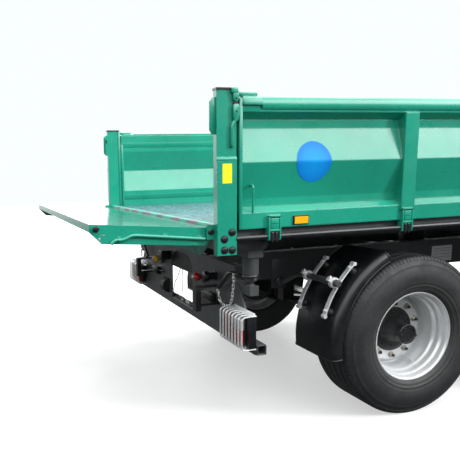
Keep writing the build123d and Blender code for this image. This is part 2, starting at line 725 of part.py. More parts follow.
def tail_lamp():
    body = slab((PLATE_X - LAMP_FOOT - LAMP_DEPTH, PLATE_X - LAMP_FOOT), (LAMP_INNER_Y, LAMP_OUTER_Y), (LAMP_BOTTOM, LAMP_TOP))
    inset = (LAMP_TOP - LAMP_BOTTOM) / 4
    foot = slab(
        (PLATE_X - LAMP_FOOT, PLATE_X),
        (LAMP_INNER_Y + inset, PLATE_HALF - inset),
        (LAMP_BOTTOM + inset, LAMP_TOP - inset),
    )
    return body + foot


def lamp_guard():
    """Upright bars over the lamp, between two rails whose ends turn forward to the plate."""
    rear = PLATE_X - LAMP_FOOT - LAMP_DEPTH - GUARD_GAP - GUARD_BAR_THICKNESS
    low = LAMP_BOTTOM - GUARD_OVERHANG - GUARD_RAIL_HEIGHT
    high = LAMP_TOP + GUARD_OVERHANG + GUARD_RAIL_HEIGHT
    y_in = LAMP_INNER_Y - GUARD_OVERHANG
    y_out = LAMP_OUTER_Y + GUARD_OVERHANG
    guard = Part()
    for z in (low, high - GUARD_RAIL_HEIGHT):
        guard += slab((rear, rear + GUARD_BAR_THICKNESS), (y_in, y_out), (z, z + GUARD_RAIL_HEIGHT))
    for y in spread(GUARD_BARS, y_in + GUARD_BAR_WIDTH / 2, y_out - GUARD_BAR_WIDTH / 2):
        guard += slab(
            (rear, rear + GUARD_BAR_THICKNESS), (y - GUARD_BAR_WIDTH / 2, y + GUARD_BAR_WIDTH / 2), (low, high)
        )
    for z in (low, high - GUARD_BAR_THICKNESS):
        guard += slab((rear, PLATE_X), (y_in, PLATE_HALF - GUARD_BAR_WIDTH), (z, z + GUARD_BAR_THICKNESS))
    return guard


def c_frame():
    """Two flat arms from the rear plate, with an upright pad across their ends."""
    rear = PLATE_X - C_FRAME_DEPTH
    y = (C_FRAME_Y - C_FRAME_WIDTH / 2, C_FRAME_Y + C_FRAME_WIDTH / 2)
    outer = slab((rear, PLATE_X), y, (C_FRAME_BOTTOM, C_FRAME_TOP))
    inner = slab(
        (rear + C_FRAME_BAR, PLATE_X + CUT),
        (y[0] - CUT, y[1] + CUT),
        (C_FRAME_BOTTOM + C_FRAME_BAR, C_FRAME_TOP - C_FRAME_BAR),
    )
    pad = slab((rear, rear + C_FRAME_PAD), y, (C_FRAME_BOTTOM - C_FRAME_PAD_DROP, C_FRAME_TOP))
    return outer - inner + pad


def coupling(place):
    """Brake hose coupling: a short neck on the plate and a wider head."""
    neck = rod_x(place[0], place[1], COUPLING_RADIUS / 2, (PLATE_X - COUPLING_LENGTH / 2, PLATE_X))
    head = rod_x(
        place[0], place[1], COUPLING_RADIUS, (PLATE_X - COUPLING_LENGTH, PLATE_X - COUPLING_LENGTH / 2)
    )
    return neck + head


def cable_sockets():
    group = Part()
    for y, z in SOCKETS:
        group += rod_x(y, z, CABLE_SOCKET_RADIUS, (PLATE_X - CABLE_SOCKET_LENGTH, PLATE_X))
    return group


def rubber_bumper():
    y, z = BUMPER_PLACE
    half = rod_y(PLATE_X, z, BUMPER_RADIUS, (y - BUMPER_WIDTH / 2, y + BUMPER_WIDTH / 2))
    rear_half = slab(
        (PLATE_X - BUMPER_RADIUS - CUT, PLATE_X),
        (y - BUMPER_WIDTH, y + BUMPER_WIDTH),
        (z - BUMPER_RADIUS - CUT, z + BUMPER_RADIUS + CUT),
    )
    return half & rear_half


def write_chassis():
    write("chassis_frame", chassis_frame())
    write("rear_plate", rear_plate())
    write("buffer_tube", buffer_tube())
    write("tail_lamps", both_sides(tail_lamp()))
    write("lamp_guards", both_sides(lamp_guard()))
    write("buffer_frames", both_sides(c_frame()))
    write("coupling_red", coupling(RED_COUPLING))
    write("coupling_yellow", coupling(YELLOW_COUPLING))
    write("cable_sockets", cable_sockets())
    write("rubber_bumper", rubber_bumper())


# Mudguards


def arc_band(inner, outer, start, end):
    """Flat ring sector about the wheel centre, angles in degrees from ahead over the top."""

    def at(radius, angle):
        return (radius * cos(radians(angle)), radius * sin(radians(angle)))

    middle = (start + end) / 2
    return make_face(
        [
            ThreePointArc(at(outer, start), at(outer, middle), at(outer, end)),
            Line(at(outer, end), at(inner, end)),
            ThreePointArc(at(inner, end), at(inner, middle), at(inner, start)),
            Line(at(inner, start), at(outer, start)),
        ]
    )


def sector(inner, outer, start, end, y):
    face = Plane((0, y[0], 0), x_dir=(1, 0, 0), z_dir=(0, -1, 0)) * arc_band(inner, outer, start, end)
    return extrude(face, amount=y[1] - y[0], dir=(0, 1, 0))


def mudguard():
    """Quarter guard behind the wheel: curved sheet with lips turned in along both sides."""
    inner = GUARD_RADIUS - MUDGUARD_THICKNESS
    lip = GUARD_RADIUS - MUDGUARD_LIP
    guard = sector(inner, GUARD_RADIUS, MUDGUARD_START_ANGLE, MUDGUARD_END_ANGLE, (MUDGUARD_INNER_Y, MUDGUARD_OUTER_Y))
    for y in (MUDGUARD_INNER_Y, MUDGUARD_OUTER_Y - MUDGUARD_THICKNESS):
        guard += sector(lip, GUARD_RADIUS, MUDGUARD_START_ANGLE, MUDGUARD_END_ANGLE, (y, y + MUDGUARD_THICKNESS))
    return guard


def mudguard_bracket():
    """Tube from the chassis rail with clamp rings, and a curved strap from each ring onto the guard."""
    radius = GUARD_RADIUS + BRACKET_REACH
    x = radius * cos(radians(BRACKET_ANGLE))
    z = radius * sin(radians(BRACKET_ANGLE))
    rail_side = RAIL_Y + RAIL_WIDTH / 2
    bracket = rod_y(x, z, BRACKET_TUBE_RADIUS, (rail_side, BRACKET_YS[-1] + BRACKET_RING_WIDTH + BRACKET_TUBE_END))
    for y in BRACKET_YS:
        ring = rod_y(x, z, BRACKET_RING_RADIUS, (y - BRACKET_RING_WIDTH / 2, y + BRACKET_RING_WIDTH / 2))
        spoke = sector(
            GUARD_RADIUS,
            radius,
            BRACKET_ANGLE - STRAP_HALF_ANGLE / 8,
            BRACKET_ANGLE + STRAP_HALF_ANGLE / 8,
            (y - BRACKET_RING_WIDTH / 2, y + BRACKET_RING_WIDTH / 2),
        )
        strap = sector(
            GUARD_RADIUS,
            GUARD_RADIUS + MUDGUARD_THICKNESS,
            BRACKET_ANGLE - STRAP_HALF_ANGLE,
            BRACKET_ANGLE + STRAP_HALF_ANGLE,
            (y - STRAP_WIDTH / 2, y + STRAP_WIDTH / 2),
        )
        bracket += ring + spoke + strap
    return bracket


def write_mudguards():
    rear = Pos(AXLE_XS["rear"], 0, WHEEL_RADIUS)
    front = Pos(AXLE_XS["front"], 0, WHEEL_RADIUS)
    for name, make in (("mudguards", mudguard), ("mudguard_brackets", mudguard_bracket)):
        write(name, both_sides(rear * make() + front * mirror(make(), about=Plane.YZ)))


# Drawbar, tow eye, jack and air tank


def drawbar_beam_y(x):
    """Distance of a beam's centre line from the middle, straight from the rail to the head."""
    share = (x - CHASSIS_FRONT) / (DRAWBAR_HEAD_X - CHASSIS_FRONT)
    return RAIL_Y + (DRAWBAR_HEAD_HALF - DRAWBAR_BEAM_WIDTH / 2 - RAIL_Y) * share


def drawbar():
    z = (DRAWBAR_TOP - DRAWBAR_HEIGHT, DRAWBAR_TOP)
    half = DRAWBAR_BEAM_WIDTH / 2
    y_rear = drawbar_beam_y(CHASSIS_FRONT)
    y_front = drawbar_beam_y(DRAWBAR_HEAD_X)
    beam = prism_z(
        [
            (CHASSIS_FRONT, y_rear - half),
            (DRAWBAR_HEAD_X, y_front - half),
            (DRAWBAR_HEAD_X, y_front + half),
            (CHASSIS_FRONT, y_rear + half),
        ],
        z,
    )
    head = slab(
        (DRAWBAR_HEAD_X, DRAWBAR_HEAD_X + DRAWBAR_HEAD_LENGTH), (-DRAWBAR_HEAD_HALF, DRAWBAR_HEAD_HALF), z
    )
    bridge_y = drawbar_beam_y(JACK_X)
    bridge = slab(
        (JACK_X - JACK_BRIDGE_LENGTH / 2, JACK_X + JACK_BRIDGE_LENGTH / 2),
        (-bridge_y, bridge_y),
        (DRAWBAR_TOP - JACK_BRIDGE_HEIGHT, DRAWBAR_TOP),
    )
    hole = JACK_TUBE / 2
    bridge -= slab((JACK_X - hole, JACK_X + hole), (-hole, hole), (z[0] - CUT, z[1] + CUT))
    return both_sides(beam) + head + bridge


def tow_eye():
    start = DRAWBAR_HEAD_X + DRAWBAR_HEAD_LENGTH
    plate_end = start + EYE_PLATE_THICKNESS
    centre = plate_end + EYE_SHANK
    z = DRAWBAR_TOP - DRAWBAR_HEIGHT / 2
    plate = slab(
        (start, plate_end), (-DRAWBAR_HEAD_HALF, DRAWBAR_HEAD_HALF), (DRAWBAR_TOP - DRAWBAR_HEIGHT, DRAWBAR_TOP)
    )
    shank = slab(
        (plate_end, centre), (-EYE_THICKNESS, EYE_THICKNESS), (z - EYE_THICKNESS / 2, z + EYE_THICKNESS / 2)
    )
    ring = rod_z(centre, 0, EYE_RING_RADIUS, (z - EYE_THICKNESS / 2, z + EYE_THICKNESS / 2))
    hole = rod_z(centre, 0, EYE_HOLE_RADIUS, (z - EYE_THICKNESS, z + EYE_THICKNESS))
    return plate + (shank + ring - hole)


def jack():
    """Outer tube in the bridge, inner tube run out to the ground, and a foot plate."""
    outer, inner, foot = JACK_TUBE / 2, JACK_INNER_TUBE / 2, JACK_FOOT / 2
    leg = slab((JACK_X - outer, JACK_X + outer), (-outer, outer), (JACK_TUBE_BOTTOM, DRAWBAR_TOP + JACK_TOP_RISE))
    leg += slab((JACK_X - inner, JACK_X + inner), (-inner, inner), (0, JACK_TUBE_BOTTOM))
    leg += slab((JACK_X - foot, JACK_X + foot), (-foot, foot), (0, JACK_FOOT_THICKNESS))
    return leg


def air_tank():
    z = RAIL_BOTTOM - TANK_TOP_GAP - TANK_RADIUS
    tank = rod_y(TANK_X, z, TANK_RADIUS, (-TANK_HALF_LENGTH, TANK_HALF_LENGTH))
    strap = slab(
        (TANK_X - TANK_STRAP_WIDTH, TANK_X + TANK_STRAP_WIDTH),
        (TANK_STRAP_Y - TANK_STRAP_WIDTH / 2, TANK_STRAP_Y + TANK_STRAP_WIDTH / 2),
        (z, RAIL_BOTTOM),
    )
    return tank + both_sides(strap)


def write_front():
    write("drawbar", drawbar())
    write("tow_eye", tow_eye())
    write("jack", jack())
    write("air_tank", air_tank())


# Bed


def bed_floor():
    return slab((FLOOR_REAR_X, BED_LENGTH - HEADBOARD_THICKNESS), (-FLOOR_HALF, FLOOR_HALF), (FLOOR_BOTTOM, DECK_TOP))


def corner_socket(x):
    """Tube down from the bed with a round seat that sits on the ball."""
    tube = rod_z(x, PIVOT_Y, SOCKET_RADIUS, (PIVOT_Z, BED_RAIL_BOTTOM))
    tube -= Pos(x, PIVOT_Y, PIVOT_Z) * Sphere(BALL_RADIUS + RUNNING_GAP)
    reach = SOCKET_RADIUS + LOCK_PIN_PROUD
    return tube - rod_y(x, PIVOT_Z, LOCK_PIN_RADIUS + PIN_GAP, (PIVOT_Y - reach, PIVOT_Y + reach))


def bed_frame():
    low, high = CROSS_BOTTOM, FLOOR_BOTTOM
    front_end = BED_LENGTH - END_SILL_INSET
    sill_rear = END_SILL_INSET + END_SILL_LENGTH
    frame = both_sides(slab((END_SILL_INSET, front_end), (SILL_OUTER_Y - SILL_WIDTH, SILL_OUTER_Y), (low, high)))
    for x in (END_SILL_INSET, front_end - END_SILL_LENGTH):
        frame += slab((x, x + END_SILL_LENGTH), (-SILL_OUTER_Y, SILL_OUTER_Y), (high - END_SILL_DROP, high))
    for x in spread(CROSS_COUNT + 2, sill_rear, BED_LENGTH - sill_rear)[1:-1]:
        frame += slab((x - CROSS_WIDTH / 2, x + CROSS_WIDTH / 2), (-SILL_OUTER_Y, SILL_OUTER_Y), (low, high))
    pivot_half = PIVOT_BEAM_LENGTH / 2
    rail = (RAIL_Y - BED_RAIL_WIDTH / 2, RAIL_Y + BED_RAIL_WIDTH / 2)
    frame += both_sides(
        slab((PIVOT_X - pivot_half, BED_LENGTH - PIVOT_X + pivot_half), rail, (BED_RAIL_BOTTOM, low))
    )
    for x in (PIVOT_X, BED_LENGTH - PIVOT_X):
        frame += slab((x - pivot_half, x + pivot_half), (-PIVOT_BEAM_HALF, PIVOT_BEAM_HALF), (BED_RAIL_BOTTOM, high))
    return frame


def hoist_cup():
    """Cup between the bed rails that takes the hoist's ball head."""
    radius = HEAD_BALL_RADIUS + HEAD_GAP
    outer = radius + HEAD_CUP_WALL
    cup = rod_z(HOIST_X, 0, outer, (HOIST_HEAD_Z, HOIST_HEAD_Z + outer))
    cup += slab(
        (HOIST_X - outer, HOIST_X + outer),
        (BED_RAIL_WIDTH / 2 - RAIL_Y, RAIL_Y - BED_RAIL_WIDTH / 2),
        (HOIST_HEAD_Z + outer - HEAD_CUP_WALL, CROSS_BOTTOM),
    )
    return cup - Pos(HOIST_X, 0, HOIST_HEAD_Z) * Sphere(radius)


def corner_gussets():
    """Upright plates inside the corner sockets, from the end sill to the pivot beam."""
    low, high = CROSS_BOTTOM - GUSSET_HEIGHT, CROSS_BOTTOM
    y = (GUSSET_Y - GUSSET_THICKNESS / 2, GUSSET_Y + GUSSET_THICKNESS / 2)
    start = END_SILL_INSET + END_SILL_LENGTH
    plate = prism_y([(start, low), (start + GUSSET_LENGTH, high), (start, high)], y)
    ends = plate + mirror(plate, about=Plane((BED_LENGTH / 2, 0, 0), x_dir=(0, 1, 0), z_dir=(1, 0, 0)))
    return both_sides(ends)


def corner_sockets():
    group = Part()
    for x in (PIVOT_X, BED_LENGTH - PIVOT_X):
        group += both_sides(corner_socket(x))
    return group


def post(with_ears):
    """Corner post at the rear left: inner section, bolted-on foot sleeve, cap and ears for the tailgate."""
    body = slab((0, POST_LENGTH), (POST_INNER_Y, BED_HALF), (POST_BOTTOM, POST_TOP))
    body += slab((0, POST_LENGTH), (POST_INNER_Y, BED_HALF + POST_SLEEVE_PROUD), (POST_BOTTOM, POST_SLEEVE_TOP))
    body += slab(
        (-POST_CAP_OVERHANG, POST_LENGTH + POST_CAP_OVERHANG),
        (POST_INNER_Y - POST_CAP_OVERHANG, BED_HALF + POST_CAP_OVERHANG),
        (POST_TOP, POST_TOP + POST_CAP_HEIGHT),
    )
    if not with_ears:
        return body
    y = (POST_INNER_Y, POST_INNER_Y + EAR_THICKNESS)
    latch_z = GATE_PIN_Z + GATE_LATCH_U
    slot = GATE_PIN_RADIUS + GATE_LATCH_CLEARANCE
    upper = prism_y(
        [
            (0, EAR_BOTTOM),
            (EAR_CHAMFER - EAR_REACH, EAR_BOTTOM),
            (-EAR_REACH, EAR_BOTTOM + EAR_CHAMFER),
            (-EAR_REACH, EAR_TOP - EAR_CHAMFER),
            (EAR_CHAMFER - EAR_REACH, EAR_TOP),
            (0, EAR_TOP),
        ],
        y,
    )
    notch_end = GATE_PIN_X + slot
    upper -= slab((-EAR_REACH - CUT, notch_end), (y[0] - CUT, y[1] + CUT), (latch_z - slot, latch_z + slot))
    lower = slab((-HINGE_EAR_REACH, 0), y, (HINGE_EAR_BOTTOM, HINGE_EAR_TOP))
    lower -= rod_y(GATE_PIN_X, GATE_PIN_Z, GATE_PIN_RADIUS + PIN_GAP, (y[0] - CUT, y[1] + CUT))
    return body + upper + lower


def rear_posts():
    return both_sides(post(with_ears=True))


def front_posts():
    across = Plane((BED_LENGTH / 2, 0, 0), x_dir=(0, 1, 0), z_dir=(1, 0, 0))
    return both_sides(mirror(post(with_ears=False), about=across))


def headboard():
    """Front wall: a skin between a top and a bottom rail, with upright ribs in front."""
    front = BED_LENGTH
    rear = front - HEADBOARD_THICKNESS
    y = (-POST_INNER_Y, POST_INNER_Y)
    wall = slab((rear, rear + HEADBOARD_SKIN), y, (FLOOR_BOTTOM, POST_TOP))
    wall += slab((rear, front), y, (POST_TOP - HEADBOARD_RAIL, POST_TOP))
    wall += slab((rear, front), y, (FLOOR_BOTTOM, DECK_TOP + HEADBOARD_RAIL))
    for place in spread(HEADBOARD_RIBS + 2, -POST_INNER_Y, POST_INNER_Y)[1:-1]:
        rib = (place - HEADBOARD_RIB_WIDTH / 2, place + HEADBOARD_RIB_WIDTH / 2)
        wall += slab((rear, front), rib, (FLOOR_BOTTOM, POST_TOP))
    return wall


def latch_lever():
    """Cranked flat handle on the outer face of a corner post."""
    half = LEVER_WIDTH / 2
    outline = [(x + half, z) for x, z in LEVER_LINE] + [(x - half, z) for x, z in reversed(LEVER_LINE)]
    lower = (BED_HALF + POST_SLEEVE_PROUD, BED_HALF + POST_SLEEVE_PROUD + LEVER_THICKNESS)
    lever = prism_y(outline, lower)
    boss_x, boss_z = LEVER_LINE[1]
    return lever + rod_y(boss_x, boss_z, half, (BED_HALF, lower[1]))


def hinge_rods():
    """Long rod along each side sill, held by a lug beside every claw."""
    x = (POST_LENGTH, BED_LENGTH - POST_LENGTH)
    rods = rod_x(HINGE_Y, HINGE_Z, HINGE_ROD_RADIUS, x)
    for claw_x in CLAW_XS:
        for sign in (1, -1):
            near = claw_x + sign * (CLAW_WIDTH / 2 + LUG_GAP)
            far = near + sign * LUG_WIDTH
            rods += slab(
                (min(near, far), max(near, far)),
                (SILL_OUTER_Y, HINGE_Y),
                (HINGE_Z - HINGE_ROD_RADIUS, HINGE_Z + HINGE_ROD_RADIUS),
            )
    return rods


def side_board():
    """Left board: pressed sheet, rails, end brackets, stiffeners and the claws that turn on the rod."""
    x = (POST_LENGTH + BOARD_END_GAP, BED_LENGTH - POST_LENGTH - BOARD_END_GAP)
    recess = BED_HALF - BOARD_RECESS
    rail_under = BOARD_TOP - TOP_RAIL_HEIGHT
    rail_over = BOARD_BOTTOM + BOTTOM_RAIL_HEIGHT
    # outer face of the sheet from the top rail down as (y, share of the height between the rails)
    bends = [
        (BED_HALF, 1),
        (recess, BEND_UNDER_RAIL_SHARE),
        (recess, BEND_UPPER_SHARE),
        (BED_HALF, BEND_RIDGE_SHARE),
        (recess, BEND_LOWER_SHARE),
        (recess, BEND_LEDGE_SHARE),
        (BED_HALF, 0),
    ]
    sheet = [(y, rail_over + (rail_under - rail_over) * share) for y, share in bends]
    board = prism_x(sheet + [(y - BOARD_SKIN, z) for y, z in reversed(sheet)], x)
    board += slab(x, (BED_HALF - TOP_RAIL_DEPTH, BED_HALF), (rail_under, BOARD_TOP))
    board += slab(x, (BED_HALF - BOTTOM_RAIL_DEPTH, BED_HALF), (BOARD_BOTTOM, rail_over))
    for end in (x[0], x[1] - END_BRACKET_LENGTH):
        board += slab((end, end + END_BRACKET_LENGTH), (BED_HALF, BED_HALF + END_BRACKET_PROUD), (rail_under, BOARD_TOP))
    for place in STIFFENER_XS:
        board += slab(
            (place - STIFFENER_WIDTH / 2, place + STIFFENER_WIDTH / 2),
            (recess - BOARD_SKIN - STIFFENER_INNER, BED_HALF + STIFFENER_PROUD),
            (STIFFENER_BOTTOM, STIFFENER_TOP),
        )
    claw_y = (HINGE_Y - HINGE_ROD_RADIUS - CLAW_WALL, HINGE_Y + HINGE_ROD_RADIUS + CLAW_SKIN)
    for place in CLAW_XS:
        board += slab((place - CLAW_WIDTH / 2, place + CLAW_WIDTH / 2), claw_y, (CLAW_BOTTOM, CLAW_TOP))
    return board - rod_x(HINGE_Y, HINGE_Z, HINGE_ROD_RADIUS + PIN_GAP, (-CUT, BED_LENGTH + CUT))


def side_markers():
    """Amber marker lamps on the bottom rail near both ends."""
    group = Part()
    for place in (MARKER_X, BED_LENGTH - MARKER_X):
        group += slab(
            (place - MARKER_LENGTH / 2, place + MARKER_LENGTH / 2),
            (BED_HALF, BED_HALF + MARKER_DEPTH),
            (MARKER_Z - MARKER_HEIGHT / 2, MARKER_Z + MARKER_HEIGHT / 2),
        )
    return group


def write_bed():
    write("bed_floor", bed_floor())
    write("bed_frame", bed_frame() + hoist_cup() + corner_gussets())
    write("corner_sockets", corner_sockets())
    write("corner_posts", rear_posts() + front_posts())
    write("headboard", headboard())
    write("latch_levers", both_sides(latch_lever()))
    write("hinge_rods", both_sides(hinge_rods()))
    write("side_board_left", side_board())
    write("side_board_right", mirrored_y(side_board()))
    write("side_markers_left", side_markers())
    write("side_markers_right", mirrored_y(side_markers()))


# Tailgate


def tailgate():
    """Wall on two bottom pins, drawn lying level with its load side up, then raised to its rest on the stops."""
    low, face = GATE_FACE - GATE_DEPTH, GATE_FACE
    foot = GATE_FOOT
    end = [
        (foot, face),
        (-GATE_HEIGHT, face),
        (-GATE_HEIGHT, face - GATE_TIP_DEPTH),
        (GATE_CHAMFER - GATE_HEIGHT, low),
        (-GATE_FOOT, low),
        (foot, -GATE_FACE),
    ]
    gate = slab((-GATE_HEIGHT, foot), (-GATE_HALF, GATE_HALF), (face - GATE_SKIN, face))
    gate += both_sides(prism_y(end, (GATE_HALF - GATE_END_PLATE, GATE_HALF)))
    gate += slab((-GATE_HEIGHT, GATE_RAIL - GATE_HEIGHT), (-GATE_HALF, GATE_HALF), (face - GATE_TIP_DEPTH, face))
    gate += slab((-GATE_RAIL, foot), (-GATE_HALF, GATE_HALF), (face - GATE_TIP_DEPTH, face))
    for place in spread(GATE_RIBS + 2, -GATE_HALF, GATE_HALF)[1:-1]:
        gate += slab(
            (GATE_CHAMFER - GATE_HEIGHT, 0),
            (place - GATE_RIB_WIDTH / 2, place + GATE_RIB_WIDTH / 2),
            (face - GATE_RIB_DEPTH, face),
        )
    pin_end = GATE_HALF + GATE_PIN_PROUD
    pin = rod_y(0, 0, GATE_PIN_RADIUS, (GATE_HALF - GATE_END_PLATE, pin_end))
    latch = rod_y(-GATE_LATCH_U, 0, GATE_PIN_RADIUS, (GATE_HALF - GATE_END_PLATE, pin_end))
    gate += both_sides(pin + latch)
    return Pos(GATE_PIN_X, 0, GATE_PIN_Z) * Rot(0, GATE_REST_ANGLE, 0) * gate


# Telescopic hoist


def stage_radius(index):
    """Outer radius of stage 1, 2, 3 or 4, each inside the one before."""
    return BARREL_RADIUS - BARREL_WALL - RUNNING_GAP - (index - 1) * (STAGE_WALL + RUNNING_GAP)


def hoist_barrel():
    barrel = rod_z(HOIST_X, 0, BARREL_RADIUS, (BARREL_BOTTOM, BARREL_TOP))
    trunnion_end = BEARING_Y + BEARING_THICKNESS
    barrel += rod_y(HOIST_X, TRUNNION_Z, TRUNNION_RADIUS, (-trunnion_end, trunnion_end))
    barrel -= rod_z(HOIST_X, 0, BARREL_RADIUS - BARREL_WALL, (BARREL_BOTTOM + BARREL_WALL, BARREL_TOP + CUT))
    return barrel


def hoist_stage(index):
    """Tube with a closed foot; the last one is solid and ends in the ball head."""
    radius = stage_radius(index)
    bottom = BARREL_BOTTOM + BARREL_WALL + STAGE_STEP * index
    top = BARREL_TOP + STAGE_STEP * index
    stage = rod_z(HOIST_X, 0, radius, (bottom, top))
    if index < STAGE_COUNT:
        return stage - rod_z(HOIST_X, 0, radius - STAGE_WALL, (bottom + STAGE_STEP / 2, top + CUT))
    neck = rod_z(HOIST_X, 0, HEAD_NECK_RADIUS, (top, HOIST_HEAD_Z))
    return stage + neck + Pos(HOIST_X, 0, HOIST_HEAD_Z) * Sphere(HEAD_BALL_RADIUS)


def hoist_motion():
    """Lean of the barrel in degrees and stroke of each stage with the bed fully tipped."""
    along, up = HOIST_X - PIVOT_X, HOIST_HEAD_Z - PIVOT_Z
    angle = radians(TIP_ANGLE)
    head_x = PIVOT_X + along * cos(angle) - up * sin(angle)
    head_z = PIVOT_Z + along * sin(angle) + up * cos(angle)
    length = hypot(head_x - HOIST_X, head_z - TRUNNION_Z)
    lean = degrees(atan2(HOIST_X - head_x, head_z - TRUNNION_Z))
    return lean, (length - (HOIST_HEAD_Z - TRUNNION_Z)) / STAGE_COUNT


def write_hoist():
    write("hoist_barrel", hoist_barrel())
    for index in range(1, STAGE_COUNT + 1):
        write(f"hoist_stage_{index}", hoist_stage(index))


write_wheels()
write_running_gear()
write_chassis()
write_mudguards()
write_front()
write_bed()
write("tailgate", tailgate())
write_hoist()
print("hoist lean and stroke", hoist_motion())
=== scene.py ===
# %% [markdown]
# # A three-way tipper trailer
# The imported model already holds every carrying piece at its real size. This notebook dresses it: each piece
# gets a finish made from procedural nodes, and the small things that a buyer would look for, such as nuts,
# chains, levers, hoses, treads and lamp bars, are modelled where they sit. The first cell loads the fixed
# frame.

# %% Load the frame
import json
from math import cos, hypot, pi, radians, sin, sqrt, tau

import bmesh
import bpy
from mathutils import Matrix, Vector


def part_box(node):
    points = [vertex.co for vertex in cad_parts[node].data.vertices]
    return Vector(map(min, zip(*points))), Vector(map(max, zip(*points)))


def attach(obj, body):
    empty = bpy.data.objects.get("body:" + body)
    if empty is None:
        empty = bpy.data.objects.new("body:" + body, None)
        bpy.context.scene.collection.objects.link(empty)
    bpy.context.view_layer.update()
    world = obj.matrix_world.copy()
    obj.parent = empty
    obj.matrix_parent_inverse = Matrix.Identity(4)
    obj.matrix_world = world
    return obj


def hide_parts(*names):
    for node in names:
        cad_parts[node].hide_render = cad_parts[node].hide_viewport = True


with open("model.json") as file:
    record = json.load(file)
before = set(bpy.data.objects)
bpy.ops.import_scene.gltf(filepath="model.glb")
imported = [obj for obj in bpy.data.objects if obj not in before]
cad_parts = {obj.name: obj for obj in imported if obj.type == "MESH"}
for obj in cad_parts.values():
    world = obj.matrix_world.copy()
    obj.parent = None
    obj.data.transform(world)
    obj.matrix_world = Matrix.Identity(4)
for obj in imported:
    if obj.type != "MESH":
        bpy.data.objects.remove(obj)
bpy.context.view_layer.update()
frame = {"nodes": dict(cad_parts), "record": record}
nodes = frame["nodes"]

# %% [markdown]
# Every size below is in metres. On the drawing of the trailer, lengths along it start at the rear face of the
# rear corner posts, which lies 12 mm behind the rear edge of the floor. `at` turns a drawing length into the
# frame's X, so that a piece can be placed by the number that a maker would read off the drawing. Heights
# start at the ground, and the distance from the middle is the same on both sides, so most pieces are built
# twice with the side's sign.

# %% The drawing's datum and main sizes
FLOOR_INSET = 0.012
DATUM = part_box("bed_floor")[0].x - FLOOR_INSET
LEFT, RIGHT = 1, -1
SIDES = (RIGHT, LEFT)
SIDE_NAMES = {LEFT: "left", RIGHT: "right"}
BED_LENGTH = 5.0
BED_HALF = 1.25
DECK_TOP = 1.336
POST_LENGTH = 0.115
POST_TOP = 2.052
POST_INNER = 1.21
BOARD_BOTTOM = 1.318
BOARD_START = 0.13
BOARD_END = BED_LENGTH - BOARD_START
PLATE_FACE = 0.2748
WHEEL_Y = 1.01
WHEEL_RADIUS = 0.536
AXLES = {"rear": 1.441, "front": 2.791}


def at(length):
    """X in the frame of a length measured forward from the rear posts."""
    return DATUM + length


def placed(point):
    """The place in the frame of a point whose x is read off the drawing."""
    return Vector((at(point[0]), point[1], point[2]))


def linked(name, data):
    """An object in the scene that holds the data."""
    obj = bpy.data.objects.new(name, data)
    bpy.context.scene.collection.objects.link(obj)
    return obj


print("rear posts start at", round(at(0), 4))

# %% [markdown]
# ## Camera
# The photograph was taken from behind the right rear corner, close by, with a short lens. Its straight edges
# and the known wheel size give the place of the lens, the way it points and its focal length. The picture was
# cropped after it was taken, so the lens axis isn't in the middle of the frame: the shift puts it back.

# %% The camera
EYE_PLACE = (-1.20836, -3.85025, 1.62483)
EYE_RIGHT = Vector((0.9594, -0.28048, -0.02974))
EYE_DOWN = Vector((-0.0762, -0.15621, -0.98478))
EYE_FORWARD = Vector((0.27157, 0.94706, -0.17124))
FOCAL_PX = 526.34
AXIS_PX = (135.54, 267.59)
FRAME_PX = 460
SENSOR = 36.0

camera_data = bpy.data.cameras.new("camera")
camera_data.sensor_width = SENSOR
camera_data.lens = SENSOR * FOCAL_PX / FRAME_PX
camera_data.shift_x = (FRAME_PX / 2 - AXIS_PX[0]) / FRAME_PX
camera_data.shift_y = (AXIS_PX[1] - FRAME_PX / 2) / FRAME_PX
camera_data.clip_end = 200
camera = linked("camera", camera_data)
turn = Matrix((EYE_RIGHT, -EYE_DOWN, -EYE_FORWARD)).transposed().to_4x4()
camera.matrix_world = Matrix.Translation(placed(EYE_PLACE)) @ turn
bpy.context.scene.camera = camera
print("lens", round(camera_data.lens, 2))
print("shift", round(camera_data.shift_x, 4), round(camera_data.shift_y, 4))

# %% [markdown]
# ## Small builders
# Most of the trailer is bent plate, bar and tube, so a few builders do most of the work. A block and a prism
# have their edges rounded, because a real edge always catches a line of light. A lathe turns wheels, caps and
# couplings about an axis. A tube follows a bent line and keeps its section from twisting by carrying one
# direction along.

# %% Block, prism, lathe and tube
ON_AXIS = 1e-6
WASHER_WIDER = 1.35
WASHER_SHARE = 0.18


def builders(count):
    """Empty builders, one for each piece that a cell makes."""
    return [bmesh.new() for _ in range(count)]


def ordered(limits):
    return min(limits), max(limits)


def rounded_edges(builder, faces, size, segments=2):
    edges = list({edge for face in faces for edge in face.edges})
    bmesh.ops.bevel(builder, geom=edges, offset=size, segments=segments, affect="EDGES", profile=0.5)


def block(builder, x, y, z, edge=0.0, segments=2):
    """A block between two limits along each axis, x on the drawing."""
    (x0, x1), (y0, y1), (z0, z1) = ordered(x), ordered(y), ordered(z)
    made = bmesh.ops.create_cube(builder, size=1.0)["verts"]
    for vert in made:
        place = vert.co + Vector((0.5, 0.5, 0.5))
        vert.co = (at(x0 + place.x * (x1 - x0)), y0 + place.y * (y1 - y0), z0 + place.z * (z1 - z0))
    if edge:
        rounded_edges(builder, {face for vert in made for face in vert.link_faces}, edge, segments)


